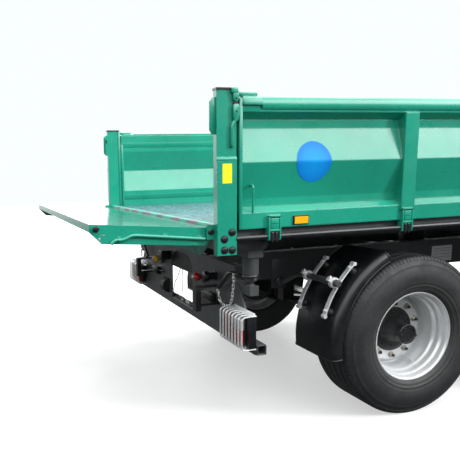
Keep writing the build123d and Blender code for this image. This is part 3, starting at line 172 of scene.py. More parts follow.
def prism(builder, outline, across, limits, edge=0.0, segments=2):
    """An outline drawn out across x, y or z. The outline's pairs are (y, z), (x, z) or (x, y)."""
    low, high = ordered(limits)

    def corner(pair, depth):
        if across == "x":
            return at(depth), pair[0], pair[1]
        if across == "y":
            return at(pair[0]), depth, pair[1]
        return at(pair[0]), pair[1], depth

    near = [builder.verts.new(corner(pair, low)) for pair in outline]
    far = [builder.verts.new(corner(pair, high)) for pair in outline]
    faces = [builder.faces.new(near), builder.faces.new(far[::-1])]
    for index in range(len(outline)):
        after = (index + 1) % len(outline)
        faces.append(builder.faces.new((near[index], far[index], far[after], near[after])))
    if edge:
        rounded_edges(builder, faces, edge, segments)


def join_rings(builder, rings, closed=False):
    """Faces between neighbouring rings, and from the last to the first where the row is closed."""
    faces = []
    for ring, following in zip(rings, rings[1:] + (rings[:1] if closed else [])):
        for step in range(len(ring)):
            after = (step + 1) % len(ring)
            faces.append(builder.faces.new((ring[step], ring[after], following[after], following[step])))
    return faces


def axes_about(direction):
    """Two directions at right angles to the one given."""
    along = Vector(direction).normalized()
    start = Vector((0, 0, 1)) if abs(along.z) < 0.9 else Vector((1, 0, 0))
    first = start.cross(along).normalized()
    return first, along.cross(first)


def lathe(builder, profile, centre, axis, segments=32):
    """Turns (radius, distance along the axis) points about an axis through centre, x on the drawing."""
    along = Vector(axis).normalized()
    first, second = axes_about(along)
    middle = placed(centre)
    rings = []
    for radius, offset in profile:
        ring = []
        for step in range(segments):
            angle = tau * step / segments
            outwards = first * cos(angle) + second * sin(angle)
            ring.append(builder.verts.new(middle + along * offset + outwards * radius))
        rings.append(ring)
    join_rings(builder, rings, closed=True)
    poles = [vert for ring, pair in zip(rings, profile) if pair[0] < ON_AXIS for vert in ring]
    bmesh.ops.remove_doubles(builder, verts=poles, dist=ON_AXIS)


def round_plate(builder, centre, axis, radius, height, segments=24):
    """A round plate that stands out along the axis."""
    lathe(builder, [(0, 0), (radius, 0), (radius, height), (0, height)], centre, axis, segments)


def bend(points, radius, steps=5):
    """Rounds the corners of a bar's line, as a bending tool does."""
    points = [Vector(point) for point in points]
    line = [points[0]]
    for before, corner, after in zip(points, points[1:], points[2:]):
        back, ahead = before - corner, after - corner
        reach = min(radius, back.length * 0.48, ahead.length * 0.48)
        start, end = corner + back.normalized() * reach, corner + ahead.normalized() * reach
        for step in range(steps + 1):
            share = step / steps
            towards = start * (1 - share) + corner * share
            onwards = corner * (1 - share) + end * share
            line.append(towards * (1 - share) + onwards * share)
    return line + [points[-1]]


def tube(builder, points, radius, sides=12, closed=False):
    """A round bar along points, x on the drawing."""
    line = [placed(point) for point in points]
    count = len(line)
    rings = []
    carried = None
    for index, place in enumerate(line):
        before = line[index - 1] if index or closed else place
        after = line[(index + 1) % count] if index < count - 1 or closed else place
        along = (after - before).normalized()
        if carried is None:
            carried = axes_about(along)[0]
        carried = (carried - along * carried.dot(along)).normalized()
        second = along.cross(carried)
        ring = []
        for step in range(sides):
            angle = tau * step / sides
            ring.append(builder.verts.new(place + (carried * cos(angle) + second * sin(angle)) * radius))
        rings.append(ring)
    join_rings(builder, rings, closed)
    if not closed:
        builder.faces.new(rings[0][::-1])
        builder.faces.new(rings[-1])


def cap_screw(builder, centre, axis, radius, height):
    """A hexagon head on a washer, standing out along the axis."""
    round_plate(builder, centre, axis, radius * WASHER_WIDER, height * WASHER_SHARE, 20)
    head = [(0, 0), (radius, 0), (radius, height * 0.86), (radius * 0.82, height), (0, height)]
    lathe(builder, head, centre, axis, 6)


def dome(builder, centre, axis, radius, height, segments=24):
    """A low round cap: a short rim and a rounded face."""
    profile = [(0, 0), (radius, 0), (radius, height * 0.45)]
    profile += [(radius * cos(radians(a)), height * (0.45 + 0.55 * sin(radians(a)))) for a in (25, 50, 75)]
    lathe(builder, profile + [(0, height)], centre, axis, segments)


# %% [markdown]
# A piece is finished in one place: its faces are turned outwards, flat and round parts are told apart by the
# angle between them, it is hung on an empty for the body that it rides on, the plain nodes that it stands for
# are hidden, and its slot is printed. Geometry Nodes trees are run by `grown`, which hands back a plain mesh.

# %% Finishing a piece
SMOOTH_ANGLE = radians(38)
made_pieces = {}


def as_object(name, builder, turn_out=True):
    mesh = bpy.data.meshes.new(name)
    if turn_out:
        bmesh.ops.recalc_face_normals(builder, faces=builder.faces[:])
    builder.to_mesh(mesh)
    builder.free()
    return linked(name, mesh)


def settle(obj, material, body, slot, stands_for=()):
    """Gives a finished mesh its material, shading and body, hides the nodes that it stands for and prints its
    slot.
    """
    mesh = obj.data
    if material is not None:
        mesh.materials.clear()
        mesh.materials.append(material)
    mesh.polygons.foreach_set("use_smooth", [True] * len(mesh.polygons))
    mesh.set_sharp_from_angle(angle=SMOOTH_ANGLE)
    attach(obj, body)
    if stands_for:
        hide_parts(*stands_for)
    made_pieces[obj.name] = sum(len(face.vertices) - 2 for face in mesh.polygons)
    print(obj.name, "on", body, "in", slot, made_pieces[obj.name], "triangles")
    return obj


def piece(name, builder, material, body, slot, stands_for=()):
    return settle(as_object(name, builder), material, body, slot, stands_for)


def place_mesh(obj, matrix):
    obj.data.transform(matrix)
    if matrix.determinant() < 0:
        obj.data.flip_normals()


def joined(name, parts):
    """One mesh out of several objects, which are removed. Their places are already in their meshes."""
    builder = bmesh.new()
    for part in parts:
        builder.from_mesh(part.data)
        bpy.data.objects.remove(part)
    return as_object(name, builder, turn_out=False)


# %% [markdown]
# Geometry Nodes place what repeats. A tree is a small program: named inputs for its sizes, nodes that work
# out the places, and copies of a shape on those places. The copies are made real and get their material at
# its end. The result is turned into a plain mesh, so nothing of the tree is left on the finished piece.

# %% Geometry Nodes: building and running a tree
SOCKETS = {float: "NodeSocketFloat", int: "NodeSocketInt", "vector": "NodeSocketVector",
           "object": "NodeSocketObject", "material": "NodeSocketMaterial"}


def add(tree, kind, links=None, **settings):
    """Adds a node, sets its options and joins or fills its inputs."""
    node = tree.nodes.new(kind)
    for option, value in settings.items():
        setattr(node, option, value)
    for socket, value in (links or {}).items():
        if isinstance(value, bpy.types.NodeSocket):
            tree.links.new(value, node.inputs[socket])
        else:
            node.inputs[socket].default_value = value
    return node


def arithmetic(tree, operation, *values):
    """One step of arithmetic on sockets or plain numbers."""
    return add(tree, "ShaderNodeMath", dict(enumerate(values)), operation=operation).outputs[0]


def new_tree(name, sizes):
    """An empty tree with named inputs. Returns the tree and the group's input node."""
    tree = bpy.data.node_groups.new(name, "GeometryNodeTree")
    tree.is_modifier = True
    tree.interface.new_socket("Geometry", in_out="OUTPUT", socket_type="NodeSocketGeometry")
    for label, kind in sizes.items():
        tree.interface.new_socket(label, in_out="INPUT", socket_type=SOCKETS[kind])
    return tree, tree.nodes.new("NodeGroupInput")


def end_tree(tree, given, instances):
    """Realizes the instances and gives them the material, which ends every tree here."""
    real = add(tree, "GeometryNodeRealizeInstances", {0: instances})
    dressed = add(tree, "GeometryNodeSetMaterial", {
        "Geometry": real.outputs[0], "Material": given.outputs["Material"]})
    add(tree, "NodeGroupOutput", {0: dressed.outputs[0]})


def grown(name, tree, values):
    """Runs a tree on an empty object and returns the result as an object with a plain mesh."""
    host = linked(name + "_host", bpy.data.meshes.new(name + "_host"))
    modifier = host.modifiers.new("grow", "NODES")
    modifier.node_group = tree
    for item in tree.interface.items_tree:
        if item.in_out == "INPUT":
            modifier[item.identifier] = values[item.name]
    bpy.context.view_layer.update()
    seen = host.evaluated_get(bpy.context.evaluated_depsgraph_get())
    mesh = bpy.data.meshes.new_from_object(seen)
    host.modifiers.remove(modifier)
    bpy.data.objects.remove(host)
    return linked(name, mesh)


# %% [markdown]
# Three trees cover what repeats on this trailer: pieces round a ring, pieces in a row and links along a
# curve. The ring turns each copy with its angle, so a nut or a tread block always faces outwards.

# %% The ring, the row and the chain
ring_tree, given = new_tree("pieces_round_a_ring", {
    "Piece": "object", "Count": int, "Radius": float, "First angle": float, "Material": "material"})
points = add(ring_tree, "GeometryNodePoints", {"Count": given.outputs["Count"]})
index = add(ring_tree, "GeometryNodeInputIndex")
share = arithmetic(ring_tree, "DIVIDE", index.outputs[0], given.outputs["Count"])
full = arithmetic(ring_tree, "MULTIPLY", share, tau)
angle = arithmetic(ring_tree, "ADD", full, given.outputs["First angle"])
out = add(ring_tree, "ShaderNodeCombineXYZ", {"X": given.outputs["Radius"]})
turned = add(ring_tree, "ShaderNodeVectorRotate", {
    "Vector": out.outputs[0], "Axis": (0, 0, 1), "Angle": angle})
spaced = add(ring_tree, "GeometryNodeSetPosition", {
    "Geometry": points.outputs[0], "Position": turned.outputs[0]})
facing = add(ring_tree, "ShaderNodeCombineXYZ", {"Z": angle})
source = add(ring_tree, "GeometryNodeObjectInfo", {"Object": given.outputs["Piece"]})
copies = add(ring_tree, "GeometryNodeInstanceOnPoints", {
    "Points": spaced.outputs[0], "Instance": source.outputs["Geometry"], "Rotation": facing.outputs[0]})
end_tree(ring_tree, given, copies.outputs[0])

row_tree, given = new_tree("pieces_in_a_row", {
    "Piece": "object", "Count": int, "Start": "vector", "Step": "vector", "Material": "material"})
line = add(row_tree, "GeometryNodeMeshLine", {
    "Count": given.outputs["Count"], "Start Location": given.outputs["Start"],
    "Offset": given.outputs["Step"]})
source = add(row_tree, "GeometryNodeObjectInfo", {"Object": given.outputs["Piece"]})
copies = add(row_tree, "GeometryNodeInstanceOnPoints", {
    "Points": line.outputs[0], "Instance": source.outputs["Geometry"]})
end_tree(row_tree, given, copies.outputs[0])

chain_tree, given = new_tree("links_along_a_curve", {
    "Path": "object", "Link": "object", "Spacing": float, "Material": "material"})
path = add(chain_tree, "GeometryNodeObjectInfo", {"Object": given.outputs["Path"]})
places = add(chain_tree, "GeometryNodeCurveToPoints", {
    "Curve": path.outputs["Geometry"], "Length": given.outputs["Spacing"]}, mode="LENGTH")
index = add(chain_tree, "GeometryNodeInputIndex")
odd = arithmetic(chain_tree, "MODULO", index.outputs[0], 2.0)
quarter = arithmetic(chain_tree, "MULTIPLY", odd, pi / 2)
roll = add(chain_tree, "ShaderNodeCombineXYZ", {"Z": quarter})
rolled = add(chain_tree, "FunctionNodeRotateRotation", {
    "Rotation": places.outputs["Rotation"], "Rotate By": roll.outputs[0]}, rotation_space="LOCAL")
source = add(chain_tree, "GeometryNodeObjectInfo", {"Object": given.outputs["Link"]})
copies = add(chain_tree, "GeometryNodeInstanceOnPoints", {
    "Points": places.outputs[0], "Instance": source.outputs["Geometry"], "Rotation": rolled.outputs[0]})
end_tree(chain_tree, given, copies.outputs[0])
print("trees", [tree.name for tree in bpy.data.node_groups])


# %% [markdown]
# Straps and cage bars are bent from flat bar. The bar keeps its width along one direction, and its thickness
# follows the bend, as it does in a press.

# %% Flat bar
def flat_bar(builder, points, across, width, thick):
    """A flat bar along points, x on the drawing, with its width along one fixed direction."""
    line = [placed(point) for point in points]
    across = Vector(across).normalized()
    rings = []
    for index, place in enumerate(line):
        before, after = line[max(index - 1, 0)], line[min(index + 1, len(line) - 1)]
        normal = across.cross((after - before).normalized()).normalized()
        rings.append([builder.verts.new(place + across * (width / 2) * a + normal * (thick / 2) * b)
                      for a, b in ((-1, -1), (1, -1), (1, 1), (-1, 1))])
    faces = join_rings(builder, rings)
    faces.append(builder.faces.new(rings[0][::-1]))
    faces.append(builder.faces.new(rings[-1]))
    return faces


print("pieces so far", len(made_pieces))

# %% [markdown]
# ## Studio
# The photograph was taken under an open sky and then cut out on white. A very large soft box high on the
# right, in front of the trailer, stands in for the bright part of that sky: faces that slope upwards mirror
# it and turn pale, while upright faces keep their colour. A box above fills the load space, and two weak ones
# open up the rear and the near side. A soft key light from the front right casts the shadows of the levers
# and claws, and a very wide fill light from above the right side gives the sloped faces their colour.

# %% Floor, world and soft boxes
bpy.context.scene.view_settings.view_transform = "Standard"
FLOOR_SIZE = 60.0
ground = bmesh.new()
bmesh.ops.create_grid(ground, x_segments=1, y_segments=1, size=FLOOR_SIZE / 2)
floor = as_object("studio_floor", ground)

world = bpy.data.worlds.new("studio")
bpy.context.scene.world = world
world.use_nodes = True
sky = world.node_tree
SKY_SEEN = 1.0
SKY_LIGHT = 0.98
GROUND_LIGHT = 0.07
SKY_MIRRORED = 2.6
HORIZON_MIRRORED = 0.1
FAR_SIDE_LIFT = 0.15
background = sky.nodes["Background"]
background.inputs["Color"].default_value = (0.96, 0.995, 1.0, 1.0)
rays = add(sky, "ShaderNodeLightPath")
way = add(sky, "ShaderNodeSeparateXYZ", {0: add(sky, "ShaderNodeTexCoord").outputs["Generated"]})
far_side = arithmetic(sky, "MULTIPLY", way.outputs["Y"], FAR_SIDE_LIFT)
height = arithmetic(sky, "ADD", way.outputs["Z"], far_side)
mirrored_sky = add(sky, "ShaderNodeMapRange", {
    0: height, 1: 0.06, 2: 0.24, 3: HORIZON_MIRRORED, 4: SKY_MIRRORED})
open_sky = add(sky, "ShaderNodeMapRange", {
    0: way.outputs["Z"], 1: -0.1, 2: 0.25, 3: GROUND_LIGHT, 4: SKY_LIGHT})
for_glossy = add(sky, "ShaderNodeMix", {
    0: rays.outputs["Is Glossy Ray"], 2: open_sky.outputs[0], 3: mirrored_sky.outputs[0]})
for_camera = add(sky, "ShaderNodeMix", {
    0: rays.outputs["Is Camera Ray"], 2: for_glossy.outputs[0], 3: SKY_SEEN})
sky.links.new(for_camera.outputs[0], background.inputs["Strength"])
floor.visible_glossy = False
floor.visible_diffuse = False


def soft_box(name, place, target, width, height, radiance):
    """A box whose brightness is given as seen in a mirror, whatever its size."""
    data = bpy.data.lights.new(name, "AREA")
    data.shape = "RECTANGLE"
    data.size = width
    data.size_y = height
    data.energy = radiance * pi * width * height
    light = linked(name, data)
    light.location = placed(place)
    light.rotation_euler = (placed(target) - placed(place)).to_track_quat("-Z", "Y").to_euler()
    return light


sky_right = soft_box("sky_right", (9.0, -9.0, 8.0), (3.0, -1.0, 1.5), 14.0, 5.6, 3.2)
sky_right.visible_diffuse = False
soft_box("sky_top", (2.5, 1.0, 8.5), (2.5, 0, 1.0), 8.0, 7.0, 3.0)
soft_box("sky_rear", (-6.5, -3.0, 5.0), (0, 0, 1.0), 6.0, 4.0, 0.5)
soft_box("sky_eye", (-2.0, -10.0, 5.5), (1.5, -1.2, 1.3), 9.0, 5.0, 0.7)

SUNS = {"key": (Vector((0.785, -0.52, 0.33)), 2.6, radians(9)),
        "fill": (Vector((0.2, -0.42, 0.88)), 2.2, radians(60))}
for name, (way_to, strength, spread) in SUNS.items():
    data = bpy.data.lights.new(name, "SUN")
    data.energy = strength
    data.angle = spread
    light = linked(name, data)
    light.rotation_euler = way_to.to_track_quat("Z", "Y").to_euler()
    light.visible_glossy = False
print("lights", [light.name for light in bpy.data.lights])

# %% [markdown]
# ## Finishes
# Nothing here is one flat colour. Each finish starts from its base colour, roughness and clear coat, and then
# gets the marks that the real one has: orange peel and dust on paint, crystals on dipped zinc, grain on
# moulded plastic, rings and road dirt on rubber. Every pattern is placed by object coordinates, so it keeps
# its real scale in millimetres.

# %% Node helpers for finishes
def finish(name, color, roughness, metallic=0.0, **numbers):
    """Starts a finish: its material, its tree and its shader, with plain numbers set on the shader."""
    material = bpy.data.materials.new(name)
    material.use_nodes = True
    material.diffuse_color = (*color, 1.0)
    tree = material.node_tree
    shader = tree.nodes["Principled BSDF"]
    shader.inputs["Base Color"].default_value = (*color, 1.0)
    shader.inputs["Roughness"].default_value = roughness
    shader.inputs["Metallic"].default_value = metallic
    for socket, value in numbers.items():
        shader.inputs[socket.replace("_", " ")].default_value = value
    return material, tree, shader


def place_in(tree, stretch=(1.0, 1.0, 1.0)):
    """Object coordinates, squeezed or stretched along an axis."""
    coords = add(tree, "ShaderNodeTexCoord").outputs["Object"]
    if stretch == (1.0, 1.0, 1.0):
        return coords
    return add(tree, "ShaderNodeVectorMath", {0: coords, 1: stretch}, operation="MULTIPLY").outputs[0]


def noise(tree, scale, detail=3.0, stretch=(1.0, 1.0, 1.0), roughness=0.55):
    return add(tree, "ShaderNodeTexNoise", {"Vector": place_in(tree, stretch), "Scale": scale,
                                            "Detail": detail, "Roughness": roughness}).outputs[0]


def span(tree, value, low, high, to_low, to_high):
    """Carries a range of values over to another and stops at its ends."""
    return add(tree, "ShaderNodeMapRange", {0: value, 1: low, 2: high, 3: to_low, 4: to_high}).outputs[0]


def times(tree, first, second):
    return arithmetic(tree, "MULTIPLY", first, second)


def blend_color(tree, share, first, second):
    first = first if isinstance(first, bpy.types.NodeSocket) else (*first, 1.0)
    second = second if isinstance(second, bpy.types.NodeSocket) else (*second, 1.0)
    return add(tree, "ShaderNodeMix", {0: share, 6: first, 7: second}, data_type="RGBA").outputs[2]


def upward(tree, low=0.3, high=0.95):
    """How far a face looks up, for the dust that settles on it and for painted shade on the tailgate's upward
    faces.
    """
    normal = add(tree, "ShaderNodeNewGeometry").outputs["Normal"]
    z = add(tree, "ShaderNodeSeparateXYZ", {0: normal}).outputs["Z"]
    return span(tree, z, low, high, 0.0, 1.0)


def edge(tree, radius):
    """Edges that shine as if they were rounded."""
    return add(tree, "ShaderNodeBevel", {"Radius": radius}, samples=4).outputs[0]


def bump(tree, height, distance, under=None):
    """Relief of a real depth in metres, laid over another relief or over rounded edges."""
    links = {"Height": height, "Distance": distance, "Strength": 1.0}
    if under is not None:
        links["Normal"] = under
    return add(tree, "ShaderNodeBump", links).outputs[0]


def drive(tree, shader, **sockets):
    for socket, value in sockets.items():
        tree.links.new(value, shader.inputs[socket.replace("_", " ")])


# %% [markdown]
# Paint on such a trailer is sprayed, so its skin is slightly wavy, which painters call orange peel, and its
# tone drifts a little over a large sheet. One function makes every paint: a coarse noise mixes two tones of
# the colour, a face that looks up gets dust, on the tailgate also painted shade that darkens it, and a fine
# noise feeds the bump. Only the numbers differ from paint to paint.

# %% Paints
DUST = (0.3, 0.29, 0.26)
FINE_EDGE = 0.0015


def painted(name, color, roughness, coat, peel, dust, edge_radius, coat_roughness=0.08, upward_shade=0.0):
    """Sprayed paint: orange peel, small drifts of tone, dust where the face looks up, and painted shade that
    darkens upward faces where upward_shade is given.
    """
    material, tree, shader = finish(name, color, roughness, Coat_Weight=coat, Coat_Roughness=coat_roughness)
    tone = noise(tree, 1.7, 4.0)
    darker = tuple(part * 0.86 for part in color)
    paler = tuple(min(1.0, part * 1.13) for part in color)
    body_color = blend_color(tree, span(tree, tone, 0.3, 0.7, 0.0, 1.0), darker, paler)
    # painted shade: upward faces are darkened towards a third of the paint's colour
    if upward_shade:
        painted_shade = tuple(part * 0.3 for part in color)
        body_color = blend_color(tree, times(tree, upward(tree), upward_shade), body_color, painted_shade)
    settled = times(tree, upward(tree),
                    span(tree, noise(tree, 5.0, 8.0, roughness=0.68), 0.42, 0.66, 0.0, dust))
    drive(tree, shader, Base_Color=blend_color(tree, settled, body_color, DUST))
    grime = noise(tree, 9.0, 6.0)
    drive(tree, shader, Roughness=span(tree, grime, 0.35, 0.7, roughness * 0.85, roughness * 1.25))
    skin = bump(tree, noise(tree, 160.0, 2.0), peel, edge(tree, edge_radius) if edge_radius else None)
    drive(tree, shader, Normal=skin, Coat_Normal=skin)
    return material


GREEN = (0.0075, 0.285, 0.188)
green = painted("green", GREEN, 0.3, 0.6, 0.00012, 0.08, 0.003)
# the tailgate's green carries painted shade on its upward faces
gate_green = painted("gate_green", GREEN, 0.3, 0.7, 0.0001, 0.0, 0.003, 0.04, upward_shade=0.75)
board_green = painted("board_green", GREEN, 0.3, 0.6, 0.0001, 0.02, 0.012)
chassis_grey = painted("chassis_grey", (0.062, 0.067, 0.07), 0.38, 0.35, 0.0003, 0.35, 0.004)
black_steel = painted("black_steel", (0.012, 0.013, 0.015), 0.36, 0.35, 0.0002, 0.18, FINE_EDGE)
hub_black = painted("hub_black", (0.009, 0.009, 0.01), 0.45, 0.2, 0.0002, 0.04, FINE_EDGE)

rim_silver, tree, shader = finish("rim_silver", (0.66, 0.67, 0.68), 0.33, 0.35, Coat_Weight=0.5,
                                  Coat_Roughness=0.12)
speck = noise(tree, 900.0, 2.0)
stain = noise(tree, 14.0, 6.0)
silver = blend_color(tree, span(tree, speck, 0.35, 0.65, 0.0, 1.0), (0.6, 0.61, 0.62), (0.76, 0.77, 0.78))
drive(tree, shader, Base_Color=blend_color(tree, span(tree, stain, 0.55, 0.75, 0.0, 0.3), silver,
                                           (0.25, 0.23, 0.2)))
drive(tree, shader, Normal=bump(tree, noise(tree, 220.0, 2.0), 0.0002, edge(tree, FINE_EDGE)))
print("paints", len(bpy.data.materials))

# %% [markdown]
# The floor is steel sheet that loads have slid over. Long scratches run along the bed and show the bright
# metal under the green in patches.

# %% The worn floor
floor_green, tree, shader = finish("floor_green", (0.1, 0.2, 0.17), 0.42)
scratch = noise(tree, 55.0, 6.0, (0.04, 1.0, 1.0), 0.7)
patch = noise(tree, 2.4, 7.0, (0.7, 1.0, 1.0), 0.62)
worn = arithmetic(tree, "ADD", scratch, patch)
bare = span(tree, worn, 0.84, 1.1, 0.0, 1.0)
fleck = span(tree, noise(tree, 46.0, 3.0), 0.46, 0.56, 0.0, 1.0)
metal_color = blend_color(tree, fleck, (0.018, 0.066, 0.068), (0.13, 0.27, 0.29))
paint_color = blend_color(tree, fleck, (0.005, 0.05, 0.046), (0.05, 0.2, 0.21))
soil = span(tree, noise(tree, 11.0, 8.0, roughness=0.7), 0.55, 0.75, 0.0, 0.35)
mixed = blend_color(tree, bare, paint_color, metal_color)
drive(tree, shader, Base_Color=blend_color(tree, soil, mixed, (0.09, 0.12, 0.11)))
drive(tree, shader, Metallic=times(tree, bare, 0.35), Roughness=span(tree, scratch, 0.3, 0.7, 0.45, 0.62))
drive(tree, shader, Normal=bump(tree, scratch, 0.0004))
print("floor finish", floor_green.name)

# %% [markdown]
# Dipped zinc shows crystals about a centimetre across, which a Voronoi texture makes cell by cell. Plated
# zinc, chrome and brushed sheet have none. Tarnish or fine lines change their roughness instead, because the
# look of a metal comes mostly from how sharply it mirrors what is round it.

# %% Metals
galvanised, tree, shader = finish("galvanised", (0.8, 0.82, 0.83), 0.4, 0.25)
crystal = add(tree, "ShaderNodeTexVoronoi", {"Vector": place_in(tree), "Scale": 75.0}).outputs["Color"]
value = add(tree, "ShaderNodeSeparateXYZ", {0: crystal}).outputs[0]
cloud = noise(tree, 6.0, 5.0)
zinc_tone = blend_color(tree, value, (0.72, 0.74, 0.75), (0.9, 0.92, 0.93))
drive(tree, shader, Base_Color=blend_color(tree, span(tree, cloud, 0.5, 0.8, 0.0, 0.6), zinc_tone,
                                           (0.6, 0.6, 0.58)))
drive(tree, shader, Roughness=span(tree, value, 0.0, 1.0, 0.3, 0.52))
drive(tree, shader, Normal=bump(tree, noise(tree, 60.0, 3.0), 0.0004, edge(tree, FINE_EDGE)))

zinc, tree, shader = finish("zinc", (0.72, 0.72, 0.71), 0.3, 0.7)
tarnish = noise(tree, 40.0, 5.0)
drive(tree, shader, Base_Color=blend_color(tree, span(tree, tarnish, 0.4, 0.8, 0.0, 1.0),
                                           (0.76, 0.76, 0.75), (0.56, 0.54, 0.49)))
drive(tree, shader, Roughness=span(tree, tarnish, 0.3, 0.8, 0.22, 0.45), Normal=bump(tree, tarnish, 0.0002))

nut_metal, tree, shader = finish("nut_metal", (0.42, 0.4, 0.35), 0.36, 0.85)
tarnish = noise(tree, 90.0, 4.0)
drive(tree, shader, Base_Color=blend_color(tree, tarnish, (0.56, 0.54, 0.49), (0.2, 0.18, 0.14)))

chrome, tree, shader = finish("chrome", (0.78, 0.79, 0.8), 0.1, 1.0)
drawn = noise(tree, 30.0, 4.0, (1.0, 1.0, 8.0))
drive(tree, shader, Roughness=span(tree, drawn, 0.3, 0.7, 0.07, 0.17), Normal=bump(tree, drawn, 0.00005))

plate_metal, tree, shader = finish("plate_metal", (0.72, 0.73, 0.74), 0.42, 0.35, Anisotropic=0.4)
brushed = noise(tree, 500.0, 2.0, (0.02, 1.0, 1.0))
drive(tree, shader, Roughness=span(tree, brushed, 0.3, 0.7, 0.36, 0.5), Normal=bump(tree, brushed, 0.00004))
print("metals", [metal.name for metal in (galvanised, zinc, nut_metal, chrome, plate_metal)])

# %% [markdown]
# Moulded plastic and rubber carry the grain of their mould. Black ones are never quite black outdoors,
# because dust lies on them, so a soft noise mixes in a little grey. A lamp's lens is smooth outside and
# ribbed inside, and two sine waves across each other draw the small cells that this makes.

# %% Plastics and rubber
def moulded(name, color, roughness, grain, depth, coat=0.0, haze=0.12):
    """Moulded plastic or rubber: fine grain, and a grey haze of dust."""
    material, tree, shader = finish(name, color, roughness, Coat_Weight=coat, Coat_Roughness=0.1)
    haze_share = times(tree, span(tree, noise(tree, 7.0, 7.0, roughness=0.65), 0.45, 0.72, 0.0, 1.0), haze)
    drive(tree, shader, Base_Color=blend_color(tree, haze_share, color, DUST))
    drive(tree, shader, Roughness=span(tree, noise(tree, 12.0, 5.0), 0.3, 0.7, roughness * 0.85,
                                       roughness * 1.2))
    drive(tree, shader, Normal=bump(tree, noise(tree, grain, 2.0), depth))
    return material


black_plastic = moulded("black_plastic", (0.005, 0.0055, 0.0075), 0.34, 420.0, 0.00025, haze=0.035)
rubber = moulded("rubber", (0.01, 0.01, 0.0105), 0.62, 300.0, 0.0003, haze=0.06)
red = moulded("red", (0.55, 0.012, 0.01), 0.3, 500.0, 0.0001, coat=0.5, haze=0.05)
yellow = moulded("yellow", (0.85, 0.52, 0.01), 0.32, 500.0, 0.0001, coat=0.4, haze=0.05)
label_yellow = moulded("label_yellow", (0.86, 0.76, 0.012), 0.42, 900.0, 0.00003, haze=0.04)
hose_black = moulded("hose_black", (0.014, 0.014, 0.015), 0.45, 700.0, 0.0001, haze=0.08)
wire_red = moulded("wire_red", (0.45, 0.02, 0.02), 0.4, 900.0, 0.00005)
worn_edge = moulded("worn_edge", (0.22, 0.2, 0.23), 0.5, 300.0, 0.0001, haze=0.3)
rubbed_green = moulded("rubbed_green", (0.045, 0.42, 0.31), 0.4, 300.0, 0.0001, haze=0.05)
tag_white = moulded("tag_white", (0.72, 0.7, 0.64), 0.5, 900.0, 0.00005)


def lens(name, color, deep, rib):
    """A clear coloured lamp lens over its ribs: the ribs are bands of tone under a smooth, glossy skin."""
    material, tree, shader = finish(name, color, 0.16, Coat_Weight=0.5, Coat_Roughness=0.04)
    parts = add(tree, "ShaderNodeSeparateXYZ", {0: place_in(tree)})
    waves = [arithmetic(tree, "SINE", times(tree, parts.outputs[axis], rib)) for axis in ("Y", "Z")]
    cells = times(tree, waves[0], waves[1])
    drive(tree, shader, Base_Color=blend_color(tree, span(tree, cells, -0.6, 0.6, 0.0, 1.0), color, deep))
    drive(tree, shader, Normal=bump(tree, cells, 0.0006))
    return material


lamp_red = lens("lamp_red", (0.42, 0.01, 0.008), (0.2, 0.004, 0.004), 520.0)
lamp_clear = lens("lamp_clear", (0.62, 0.6, 0.58), (0.4, 0.38, 0.38), 520.0)
amber = lens("amber", (1.0, 0.5, 0.0), (0.95, 0.34, 0.0), 700.0)
print("finishes so far", len(bpy.data.materials))

# %% [markdown]
# The blue disc is a plain round film. Its colour goes from a pale middle to a deep rim, worked out from the
# distance to its own centre. The tyre's finish reads the second UV coordinate, which runs across the profile
# from bead to bead, so the moulded rings and the brown bloom near the rim stay concentric whichever way the
# wheel is turned.

# %% Disc and tyre
DISC_PLACE = (0.598, -1.2445, 1.676)
DISC_RADIUS = 0.1125


def disc_blue_for(centre):
    material, tree, shader = finish("disc_blue", (0.004, 0.19, 0.62), 0.4, Specular_IOR_Level=0.22)
    away = add(tree, "ShaderNodeVectorMath", {0: place_in(tree), 1: centre},
               operation="DISTANCE").outputs["Value"]
    tone = add(tree, "ShaderNodeValToRGB", {0: span(tree, away, 0.0, DISC_RADIUS, 0.0, 1.0)})
    stops = [(0.0, (0.006, 0.3, 0.74)), (0.6, (0.004, 0.25, 0.7)), (0.95, (0.003, 0.19, 0.62))]
    ramp = tone.color_ramp.elements
    while len(ramp) < len(stops):
        ramp.new(0.99)
    for element, (place, color) in zip(ramp, stops):
        element.position = place
        element.color = (*color, 1.0)
    drive(tree, shader, Base_Color=tone.outputs[0], Normal=bump(tree, noise(tree, 300.0, 2.0), 0.00005))
    return material


disc_blue = disc_blue_for(placed(DISC_PLACE))

tyre_rubber, tree, shader = finish("tyre", (0.02, 0.02, 0.021), 0.55)
across = add(tree, "ShaderNodeSeparateXYZ", {0: add(tree, "ShaderNodeTexCoord").outputs["UV"]}).outputs["Y"]
from_crown = arithmetic(tree, "ABSOLUTE", arithmetic(tree, "SUBTRACT", across, 0.5))
dusty = noise(tree, 9.0, 8.0, roughness=0.66)
bloom = times(tree, span(tree, from_crown, 0.3, 0.46, 0.0, 1.0), span(tree, dusty, 0.3, 0.65, 0.15, 0.75))
tread_share = span(tree, from_crown, 0.2, 0.08, 0.0, 1.0)
tread_dust = times(tree, tread_share, span(tree, dusty, 0.35, 0.6, 0.02, 0.3))
dark = blend_color(tree, span(tree, noise(tree, 60.0, 4.0), 0.3, 0.7, 0.0, 1.0), (0.01, 0.0105, 0.0115),
                   (0.019, 0.021, 0.023))
brown = blend_color(tree, times(tree, bloom, 0.55), dark, (0.046, 0.043, 0.039))
drive(tree, shader, Base_Color=blend_color(tree, tread_dust, brown, (0.048, 0.048, 0.046)))
ring_wave = arithmetic(tree, "SINE", times(tree, from_crown, 210.0))
ring_zone = times(tree, ring_wave, span(tree, from_crown, 0.38, 0.42, 0.0, 1.0))
rings = bump(tree, ring_zone, 0.0007)
drive(tree, shader, Roughness=span(tree, dusty, 0.35, 0.65, 0.48, 0.72))
drive(tree, shader, Normal=bump(tree, noise(tree, 260.0, 3.0), 0.0004, rings))

print("disc centre", [round(part, 4) for part in placed(DISC_PLACE)])
